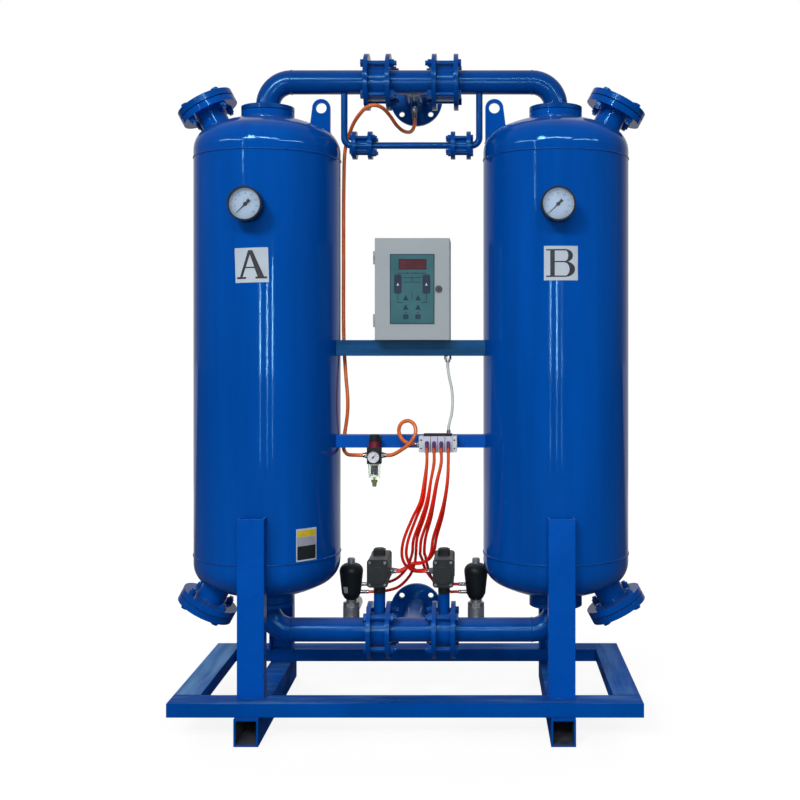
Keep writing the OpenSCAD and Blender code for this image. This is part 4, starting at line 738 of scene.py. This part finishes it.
def ring_welds():
    """Beads at nozzle, neck and nozzle flange, for the upper head and the lower one."""
    port = [on_head(p, PORT_AXIS) for p in circle(PORT_FOOT, PORT_AXIS, PORT_R, 64)]
    neck = [on_head(p, UP) for p in circle(NECK_START, UP, NECK_R, 72)]
    flange = circle(PORT_FLANGE, PORT_AXIS, PORT_FLANGE_R, 48)
    return [[Vector((p.x, p.y, seam + way * p.z)) for p in ring]
            for seam, way in ((TOP_SEAM, 1), (LOW_SEAM, -1)) for ring in (port, neck, flange)]


def lug_welds(near):
    lines = []
    for side in (-LUG_HALF, LUG_HALF):
        feet = [Vector((near + LUG_LENGTH * i / LUG_STEPS, side, LUG_START))
                for i in range(LUG_STEPS + 1)]
        lines.append([on_head(p, UP) + TOP_SEAM * UP for p in feet])
    return lines


def on_tower(lines, sign):
    return [[Vector((sign * (TOWER_X - p.x), p.y, p.z)) for p in line] for line in lines]


def weld(name, lines, radius, closed=True, mat=paint_weld, smooth=True):
    verts, faces = sweep(lines, radius, closed=closed)
    piece(name, verts, faces, mat, smooth=smooth)


for sign, name in ((-1, "a"), (1, "b")):
    x = sign * TOWER_X
    seams = [circle((x, 0, z), UP, SEAM_R, 128) for z in (LOW_SEAM, TOP_SEAM)]
    pipes = [circle((sign * (TOWER_X - ELBOW_X), 0, z), ACROSS, ELBOW_R, 40)
             for z in (TOP_PIPE, LOW_PIPE)]
    pipes += [circle((x, 0, z), UP, ELBOW_R, 40) for z in (TOP_PIPE - ELBOW_Z, LOW_PIPE + ELBOW_Z)]
    pipes += [circle((sign * at, 0, z), ACROSS, PIPE_R, 40)
              for at, z in ((TOP_FLANGE_X, TOP_PIPE), (LOW_FLANGE_X, LOW_PIPE),
                            (TEE_X, TOP_PIPE), (TEE_X, LOW_PIPE))]
    feet = [[(x + side * FOOT_HALF, row * y, RAIL_TOP)
             for side, y in ((-1, FOOT_NEAR), (-1, FOOT_FAR), (1, FOOT_FAR), (1, FOOT_NEAR))]
            for row in (-1, 1)]
    joints = [[(sign * at, FRONT_JOINT_Y, JOINT_Z) for at in FRONT_JOINT_X],
              [(sign * REAR_JOINT_X, y, JOINT_Z) for y in REAR_JOINT_Y]]
    weld("nozzle_welds_" + name, on_tower(ring_welds(), sign), NOZZLE_BEAD)
    weld("lug_welds_" + name, on_tower(lug_welds(LUG_NEAR[name]), sign), SEAM_BEAD, closed=False)
    weld("seam_welds_" + name, seams, SEAM_BEAD)
    weld("pipe_welds_" + name, pipes, PIPE_BEAD)
    weld("foot_welds_" + name, feet, PIPE_BEAD, closed=False)
    weld("rail_joints_" + name, joints, JOINT_LINE, closed=False, mat=joint_dark, smooth=False)


# Curved plates on the towers: u runs round the shell, v up
PATCH_STEPS = 10
PATCH_FOOT = 0.1
LETTER_SPAN = 9
LETTER_THICK = 0.2


def shell_place(axis_x, u0, v0, turn):
    """A function that lays (u, v), turned and moved to (u0, v0), at a lift off the shell."""
    c, s = math.cos(turn), math.sin(turn)

    def place(q, lift):
        angle = (u0 + q[0] * c - q[1] * s) / TOWER_R
        r = TOWER_R + lift
        return (axis_x + r * math.sin(angle), -r * math.cos(angle), v0 + q[0] * s + q[1] * c)
    return place


def shell_patch(name, axis_x, u0, v0, corners, lift, mat, turn=0.0):
    """A quadrilateral of four (u, v) corners laid on the shell round (u0, v0), with a thin edge."""
    place = shell_place(axis_x, u0, v0, turn)
    a, b, c, d = (Vector(corner) for corner in corners)
    verts, faces = [], []
    for layer in (PATCH_FOOT, lift):
        for i in range(PATCH_STEPS + 1):
            t = i / PATCH_STEPS
            verts.append(place(a * (1 - t) + b * t, layer))
            verts.append(place(d * (1 - t) + c * t, layer))
    half = 2 * (PATCH_STEPS + 1)
    for i in range(PATCH_STEPS):
        k = half + 2 * i
        faces.append((k, k + 2, k + 3, k + 1))
        faces.append((2 * i, 2 * i + 1, 2 * i + 3, 2 * i + 2))
        faces.append((k, k - half, k + 2 - half, k + 2))
        faces.append((k + 1, k + 3, k + 3 - half, k + 1 - half))
    faces.append((half, half + 1, 1, 0))
    last = half + 2 * PATCH_STEPS
    faces.append((last, last - half, last + 1 - half, last + 1))
    piece(name, verts, faces, mat)


def shell_shape(name, axis_x, u0, v0, polygons, lift, mat, turn=0.0):
    """Flat outlines, each a closed list of (u, v), laid on the shell as thin print."""
    place = shell_place(axis_x, u0, v0, turn)
    bm = bmesh.new()
    for outline in polygons:
        face = bm.faces.new([bm.verts.new((u, v, 0)) for u, v in outline])
        bmesh.ops.triangulate(bm, faces=[face])
    bmesh.ops.remove_doubles(bm, verts=bm.verts, dist=0.01)
    for _ in range(2):
        long_edges = [e for e in bm.edges if e.calc_length() > LETTER_SPAN]
        bmesh.ops.subdivide_edges(bm, edges=long_edges, cuts=1)
    bmesh.ops.triangulate(bm, faces=bm.faces)
    for v in bm.verts:
        v.co = Vector(place(v.co, lift)) * MM
    mesh = bpy.data.meshes.new(name)
    bm.to_mesh(mesh)
    bm.free()
    mesh.materials.append(mat)
    obj = bpy.data.objects.new(name, mesh)
    scene.collection.objects.link(obj)
    thicken(obj, LETTER_THICK)
    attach(obj, "dryer")


def rect(x0, y0, x1, y1):
    return [(x0, y0), (x1, y0), (x1, y1), (x0, y1)]


def bowl_shape(x0, bottom, top, reach, thick, n=14):
    """Half-ring of a letter B, heavier at its far side, as short pieces."""
    mid, half = (bottom + top) / 2, (top - bottom) / 2
    outer, inner = [], []
    for i in range(n + 1):
        a = -math.pi / 2 + math.pi * i / n
        outer.append((x0 + reach * math.cos(a), mid + half * math.sin(a)))
        inner.append((x0 + (reach - thick) * math.cos(a), mid + (half - 4) * math.sin(a)))
    return [[outer[i], outer[i + 1], inner[i + 1], inner[i]] for i in range(n)]


LETTER_A = [
    [(-8.7, 44.6), (3.9, 44.6), (37, -36), (17.6, -36), (-3.7, 32), (-28, -36), (-36, -36)],
    [(-20, -5), (11, -5), (12, -9), (-21, -9)],
    [(-45, -35), (-17, -35), (-17, -41), (-45, -41)],
    [(11, -35), (45, -35), (45, -41), (11, -41)]]
LETTER_B = [
    [(-32, 42), (-18.5, 42), (-18.5, -41.5), (-32, -41.5)],
    [(-44.3, 41.95), (-31.5, 41.95), (-31.5, 37.7), (-44.3, 37.7)],
    [(-44.3, -37.2), (-31.5, -37.2), (-31.5, -41.45), (-44.3, -41.45)],
    [(-19, 41.95), (13.4, 41.95), (13.4, 37.5), (-19, 37.5)],
    [(-19, 6.4), (14, 6.4), (14, 2.5), (-19, 2.5)],
    [(-19, -37.3), (12.4, -37.3), (12.4, -41.45), (-19, -41.45)],
    *bowl_shape(13, 3, 42, 23, 14.4),
    *bowl_shape(12, -41.5, 5.5, 30.4, 16.8)]
PLATES = (
    ("plate_a", -TOWER_X, -5, 1402, rect(-50.5, -52, 50.5, 52), LETTER_A, math.radians(1.7)),
    ("plate_b", TOWER_X, 0, 1408, rect(-51, -51.5, 51, 51.5), LETTER_B, 0.0))
for name, axis_x, u, v, corners, letter, turn in PLATES:
    shell_patch(name, axis_x, u, v, corners, 0.6, plate_white, turn)
    shell_shape(name + "_letter", axis_x, u, v, letter, 0.8, plate_ink, turn)

STICKER_U = math.radians(41) * TOWER_R
STICKER_V = 556.5
STICKER = (
    ("sticker_a", rect(-36, -49.5, 36, 49.5), 0.4, plate_white),
    ("sticker_a_top", rect(-32.5, 25, 32.5, 44), 0.6, band_yellow),
    ("sticker_a_middle", rect(-32.5, -2, 32.5, 24), 0.6, band_grey),
    ("sticker_a_foot", rect(-32.5, -45, 32.5, -3), 0.6, band_dark))
for name, corners, lift, mat in STICKER:
    shell_patch(name, -TOWER_X, STICKER_U, STICKER_V, corners, lift, mat)


# Prints on flat faces that look to the front: outlines in (x, z)
PRINT_THICK = 0.12
PRINT_LIFT = 0.15


def flat_print(name, polygons, y, mat, body="dryer"):
    verts, faces = [], []
    for outline in polygons:
        faces.append(tuple(range(len(verts), len(verts) + len(outline))))
        verts += [(p[0], y, p[1]) for p in outline]
    piece(name, verts, faces, mat, body, thick=PRINT_THICK)


def disc(cx, cz, r, n=24):
    turns = [2 * math.pi * i / n for i in range(n)]
    return [(cx + r * math.cos(a), cz + r * math.sin(a)) for a in turns]


def rounded_box(cx, cz, w, h, r, n=6):
    points = []
    for qx, qz, start in ((1, 1, 0), (-1, 1, 90), (-1, -1, 180), (1, -1, 270)):
        for i in range(n + 1):
            a = math.radians(start + 90 * i / n)
            points.append((cx + qx * (w / 2 - r) + r * math.cos(a),
                           cz + qz * (h / 2 - r) + r * math.sin(a)))
    return points


def triangle(cx, cz, w, h):
    return [(cx - w / 2, cz - h / 2), (cx + w / 2, cz - h / 2), (cx, cz + h / 2)]


def number(text, size):
    """Flat outlines of the built-in lettering for figures on a dial, round the origin."""
    curve = bpy.data.curves.new("figure", "FONT")
    curve.body = text
    curve.size = size
    curve.align_x = "CENTER"
    curve.align_y = "CENTER"
    curve.resolution_u = 3
    obj = bpy.data.objects.new("figure", curve)
    scene.collection.objects.link(obj)
    mesh = obj.to_mesh()
    spots = [(v.co.x, v.co.y) for v in mesh.vertices]
    shapes = [[spots[v] for v in poly.vertices] for poly in mesh.polygons]
    obj.to_mesh_clear()
    bpy.data.objects.remove(obj)
    bpy.data.curves.remove(curve)
    return shapes


# Gauge dials: degrees of the scale, then inner end and half width of a long and a short tick, and
# the places of the ticks' outer ends and of the figures, as shares of the dial's radius
SCALE_START, SCALE_SWEEP = 225, 270
LONG_TICK, SHORT_TICK = (0.84, 0.012), (0.90, 0.006)
TICK_END, FIGURE_AT = 0.96, 0.68


def dial_prints(cx, cz, r, steps, minor, figure_size, figures):
    centre = Vector((cx, cz))
    shapes = []
    total = steps * minor
    for i in range(total + 1):
        a = math.radians(SCALE_START - SCALE_SWEEP * i / total)
        start, half = LONG_TICK if i % minor == 0 else SHORT_TICK
        out = Vector((math.cos(a), math.sin(a)))
        aside = Vector((-math.sin(a), math.cos(a))) * (r * half)
        near, far = centre + out * (r * start), centre + out * r * TICK_END
        shapes.append([tuple(p) for p in (near - aside, far - aside, far + aside, near + aside)])
    for i, text in enumerate(figures):
        a = math.radians(SCALE_START - SCALE_SWEEP * i / (len(figures) - 1))
        x, z = cx + r * FIGURE_AT * math.cos(a), cz + r * FIGURE_AT * math.sin(a)
        for outline in number(text, figure_size):
            shapes.append([(x + p[0], z + p[1]) for p in outline])
    return shapes


GAUGE_FRONT = -(TOWER_R + 32 + 20.5)
GAUGE_SHIFT, GAUGE_Z, GAUGE_R = -12, 1578, 46.5
SMALL_R = 17.5
GAUGE_FIGURES = [str(value) for value in range(0, 17, 2)]
SMALL_FIGURES = [str(value) for value in range(0, 11, 2)]
for sign, name in ((-1, "a"), (1, "b")):
    marks = dial_prints(sign * TOWER_X + GAUGE_SHIFT, GAUGE_Z, GAUGE_R, 8, 5, 9.0, GAUGE_FIGURES)
    flat_print("gauge_marks_" + name, marks, GAUGE_FRONT - PRINT_LIFT, pale_ink)
marks = dial_prints(REGULATOR_X, SMALL_DIAL_Z, SMALL_R, 5, 2, 4.2, SMALL_FIGURES)
flat_print("small_gauge_marks", marks, SMALL_DIAL_Y - PRINT_LIFT, ink)


# Membrane panel: window, tower signs, pipe lines and lamps
DOOR_FRONT = -110
PANEL_FRONT = DOOR_FRONT - 1.5
PANEL_X, PANEL_Z = 8, 1336
PANEL_HALF_W, PANEL_HALF_H, RIM = 69, 108.5, 2.7
TOWER_SIGNS, TOWER_SIGNS_Z = (-36.5, 52), 1351
VALVE_SIGNS, VALVE_SIGNS_Z = (-12, 26), (1309, 1280)
FLOW_SIGNS, FLOW_Z = (-5, 21.5), 1385


def panel(name, polygons, mat, lift=PRINT_LIFT):
    flat_print(name, polygons, PANEL_FRONT - lift, mat, "door")


def around(k, inset):
    """Corner k of the panel's outline, moved in by inset."""
    side, up = ((-1, -1), (1, -1), (1, 1), (-1, 1))[k % 4]
    return (PANEL_X + side * (PANEL_HALF_W - inset), PANEL_Z + up * (PANEL_HALF_H - inset))


rim = [[around(k, 0), around(k + 1, 0), around(k + 1, RIM), around(k, RIM)] for k in range(4)]
lines = [
    rect(-37.5, 1383.8, 52.5, 1386), rect(-22, 1370, 37, 1372), rect(-22, 1356.2, 37, 1358),
    rect(-37.2, 1293, -35.2, 1321), rect(50.8, 1293, 52.8, 1321), rect(6.8, 1357.5, 8.8, 1371.5),
    rect(-37, 1293, -20.5, 1295), rect(35.5, 1293, 52.5, 1295), rect(6.8, 1304, 8.8, 1325)]
signs = [disc(7.5, 1371.5, 3)]
for cx in VALVE_SIGNS:
    signs += [rounded_box(cx, 1250, 17, 15, 3), disc(cx, 1263.5, 2.2)]
for cx in FLOW_SIGNS:
    signs.append([(cx - 5, FLOW_Z - 3), (cx - 5, FLOW_Z + 3), (cx + 5, FLOW_Z)])

panel("panel_rim", rim, panel_edge)
panel("panel_window_frame", [rect(-34, 1396, 52.5, 1429)], window_edge)
panel("panel_window", [rect(-30.5, 1399, 49, 1425)], window_red, 0.25)
panel("panel_towers", [rounded_box(cx, TOWER_SIGNS_Z, 24, 60, 7) for cx in TOWER_SIGNS], panel_dark)
panel("panel_lit", [triangle(cx, TOWER_SIGNS_Z, 8, 9) for cx in TOWER_SIGNS], panel_light, 0.25)
panel("panel_lines", lines, panel_line)
panel("panel_triangles", [triangle(cx, cz, 18, 17) for cx in VALVE_SIGNS for cz in VALVE_SIGNS_Z],
      panel_line)
panel("panel_signs", signs, panel_edge, 0.2)


# Lock face
LOCK_X, LOCK_FACE, SLOT_R = 90, DOOR_FRONT - 4.3, 3.4
flat_print("lock_slot", [disc(LOCK_X, PANEL_Z, SLOT_R)], LOCK_FACE - PRINT_THICK, panel_dark,
           "lock")


# Valve block: painted shade in the gaps between the valves, end plate screws
GAP_HALF, GAP_FOOT = 0.8, 831
SCREW_X, SCREW_Y, SCREW_Z = 51.5, -113.9, (842, 868)
SCREW_R, SCREW_H = 2.6, 1.8
# Rings of a domed head, from the seat up: shares of its radius and of its height
DOME = ((1, 0), (1, 0.6), (0.8, 0.92), (0.35, 1))


def front_caps(places, r, h, n=16):
    """Domed screw heads that look to the front."""
    verts, faces = [], []
    for x, y, z in places:
        first = len(verts)
        for out, up in DOME:
            verts += [(px, y - up * h, pz) for px, pz in disc(x, z, out * r, n)]
        for k in range(first, first + 3 * n, n):
            for i in range(n):
                j = (i + 1) % n
                faces.append((k + i, k + j, k + n + j, k + n + i))
        faces.append(tuple(first + 3 * n + i for i in range(n)))
        faces.append(tuple(first + i for i in range(n)))
    return verts, faces


gaps = [MANIFOLD_X + k * VALVE_PITCH for k in (-1, 0, 1)]
# Dark strips down the valve fronts where the valves meet: painted shade in the gaps.
flat_print("valve_gap_shade", [rect(x - GAP_HALF, GAP_FOOT, x + GAP_HALF, VALVE_TOP) for x in gaps],
           VALVE_FRONT - PRINT_THICK, black_plastic)
screws = [(MANIFOLD_X + side * SCREW_X, SCREW_Y, z) for side in (-1, 1) for z in SCREW_Z]
verts, faces = front_caps(screws, SCREW_R, SCREW_H)
piece("manifold_screws", verts, faces, panel_dark, smooth=True)


# Plain grey field on the left exhaust actuator, whose body widens upwards
FIELD_LOW, FIELD_TOP = 352, 372
FIELD_START, FIELD_STEP, FIELD_COLUMNS = -42, 7, 5
BODY_FOOT, BODY_H, BODY_FOOT_R, BODY_FLARE = 345.5, 72.5, 31, 8
verts = []
for lift in (0.1, 0.6):
    for i in range(FIELD_COLUMNS):
        for z in (FIELD_LOW, FIELD_TOP):
            a = math.radians(FIELD_START + FIELD_STEP * i)
            r = BODY_FOOT_R + BODY_FLARE * (z - BODY_FOOT) / BODY_H + lift
            verts.append((EXHAUST_X + r * math.sin(a), EXHAUST_Y - r * math.cos(a), z))
half = 2 * FIELD_COLUMNS
faces = [(0, 1, half + 1, half), (half - 2, 2 * half - 2, 2 * half - 1, half - 1)]
for i in range(0, half - 2, 2):
    k = half + i
    faces += [(i, i + 1, i + 3, i + 2), (k, k + 2, k + 3, k + 1), (i, k, k + 2, i + 2),
              (i + 1, i + 3, k + 3, k + 1)]
piece("actuator_field", verts, faces, band_grey)


# Floor and light
FLOOR_HALF = 40
FLOOR_GREY = 0.16
MIRRORED = 0.5


def seen_rays(tree, behind):
    """1 for what shows the background: the eye, clear parts, metal that mirrors what is behind."""
    path = new_node(tree, "LightPath").outputs
    mirrored = link_math(tree, "MULTIPLY", path["Is Glossy Ray"], behind)
    clear = link_math(tree, "MAXIMUM", path["Is Camera Ray"], path["Is Transmission Ray"])
    return link_math(tree, "MAXIMUM", clear, link_math(tree, "MULTIPLY", mirrored, MIRRORED))


def white_floor():
    mat = bpy.data.materials.new("floor")
    mat.use_nodes = True
    tree = mat.node_tree
    tree.nodes.clear()
    place = split_vector(tree, new_node(tree, "NewGeometry").outputs["Position"])
    aside = link_math(tree, "MULTIPLY", link_math(tree, "ABSOLUTE", place["X"]), 0.7)
    behind = link_map(tree, link_math(tree, "SUBTRACT", place["Y"], aside), 0.2, 1.5)
    away = link_math(tree, "ADD", link_math(tree, "ABSOLUTE", place["Y"]), aside)
    far = link_map(tree, away, 0.8, 4.0, 0.88, 1.0)
    diffuse = new_node(tree, "BsdfDiffuse")
    diffuse.inputs["Color"].default_value = (FLOOR_GREY, FLOOR_GREY, FLOOR_GREY, 1)
    glow = new_node(tree, "Emission")
    strength = link_math(tree, "MULTIPLY", seen_rays(tree, behind), far)
    tree.links.new(strength, glow.inputs["Strength"])
    add = new_node(tree, "AddShader")
    tree.links.new(diffuse.outputs[0], add.inputs[0])
    tree.links.new(glow.outputs[0], add.inputs[1])
    tree.links.new(add.outputs[0], new_node(tree, "OutputMaterial").inputs[0])
    return mat


floor_mesh = bpy.data.meshes.new("floor")
floor_corners = rect(-FLOOR_HALF, -FLOOR_HALF, FLOOR_HALF, FLOOR_HALF)
floor_mesh.from_pydata([(x, y, 0) for x, y in floor_corners], [], [(0, 1, 2, 3)])
floor_mesh.materials.append(white_floor())
floor = bpy.data.objects.new("floor", floor_mesh)
scene.collection.objects.link(floor)

world = bpy.data.worlds.new("world")
scene.world = world
world.use_nodes = True
tree = world.node_tree
tree.nodes.clear()
way = split_vector(tree, new_node(tree, "TexCoord").outputs["Generated"])
soft = new_node(tree, "Background")
tree.links.new(link_map(tree, way["Z"], 0, 1, 0.10, 0.42), soft.inputs["Strength"])
white = new_node(tree, "Background")
white.inputs["Strength"].default_value = 1.0
for node in (soft, white):
    node.inputs["Color"].default_value = (1, 1, 1, 1)
blend = new_node(tree, "MixShader")
tree.links.new(seen_rays(tree, link_map(tree, way["Y"], 0.45, 0.85)), blend.inputs[0])
tree.links.new(soft.outputs[0], blend.inputs[1])
tree.links.new(white.outputs[0], blend.inputs[2])
tree.links.new(blend.outputs[0], new_node(tree, "OutputWorld").inputs[0])


def lamp(name, place, target, width, height, power):
    data = bpy.data.lights.new(name, "AREA")
    data.shape = "RECTANGLE"
    data.size = width
    data.size_y = height
    data.energy = power
    obj = bpy.data.objects.new(name, data)
    obj.location = place
    obj.rotation_euler = (Vector(target) - Vector(place)).to_track_quat("-Z", "Y").to_euler()
    scene.collection.objects.link(obj)
    return obj


# A row of ceiling lamps in front, whose ends show only as longer highlights, and tall narrow lamps
# for the streaks on the towers
ROW_X, ROW_Z, ROW_LENGTH, ROW_WIDTH = -0.5, 5.7, 9.0, 0.25
ROW_AIM = (0, 0, 1.1)
STREAK_Y, STREAK_X = -4.5, (-0.5, 0.3, 0.97)
for side in (-1, 1):
    lamp("back", (2.6 * side, 5.0, 2.4), (0, 0, 1.0), 1.5, 1.5, 85).visible_glossy = False
lamp("key", (-1.7, -4.6, 4.0), (0, 0, 1.2), 0.8, 0.8, 92)
lamp("row", (ROW_X, -9.0, ROW_Z), ROW_AIM, ROW_LENGTH, ROW_WIDTH, 440)
for side in (-1, 1):
    row_end = (ROW_X + side * ROW_LENGTH, -8.2, ROW_Z)
    lamp("row_end", row_end, ROW_AIM, ROW_LENGTH, ROW_WIDTH, 260).visible_diffuse = False
for index, x in enumerate(STREAK_X):
    lamp("streak_%d" % index, (x, STREAK_Y, 1.34), (x, 0, 1.34), 0.07, 0.79, 13)
    lamp("streak_low_%d" % index, (x, STREAK_Y, 0.65), (x, 0, 0.65), 0.05, 0.59, 1.5)
lamp("streak_high", (-2.75, STREAK_Y, 2.72), (-0.46, 0, 1.7), 0.04, 0.9, 6)

scene.view_settings.view_transform = "Standard"
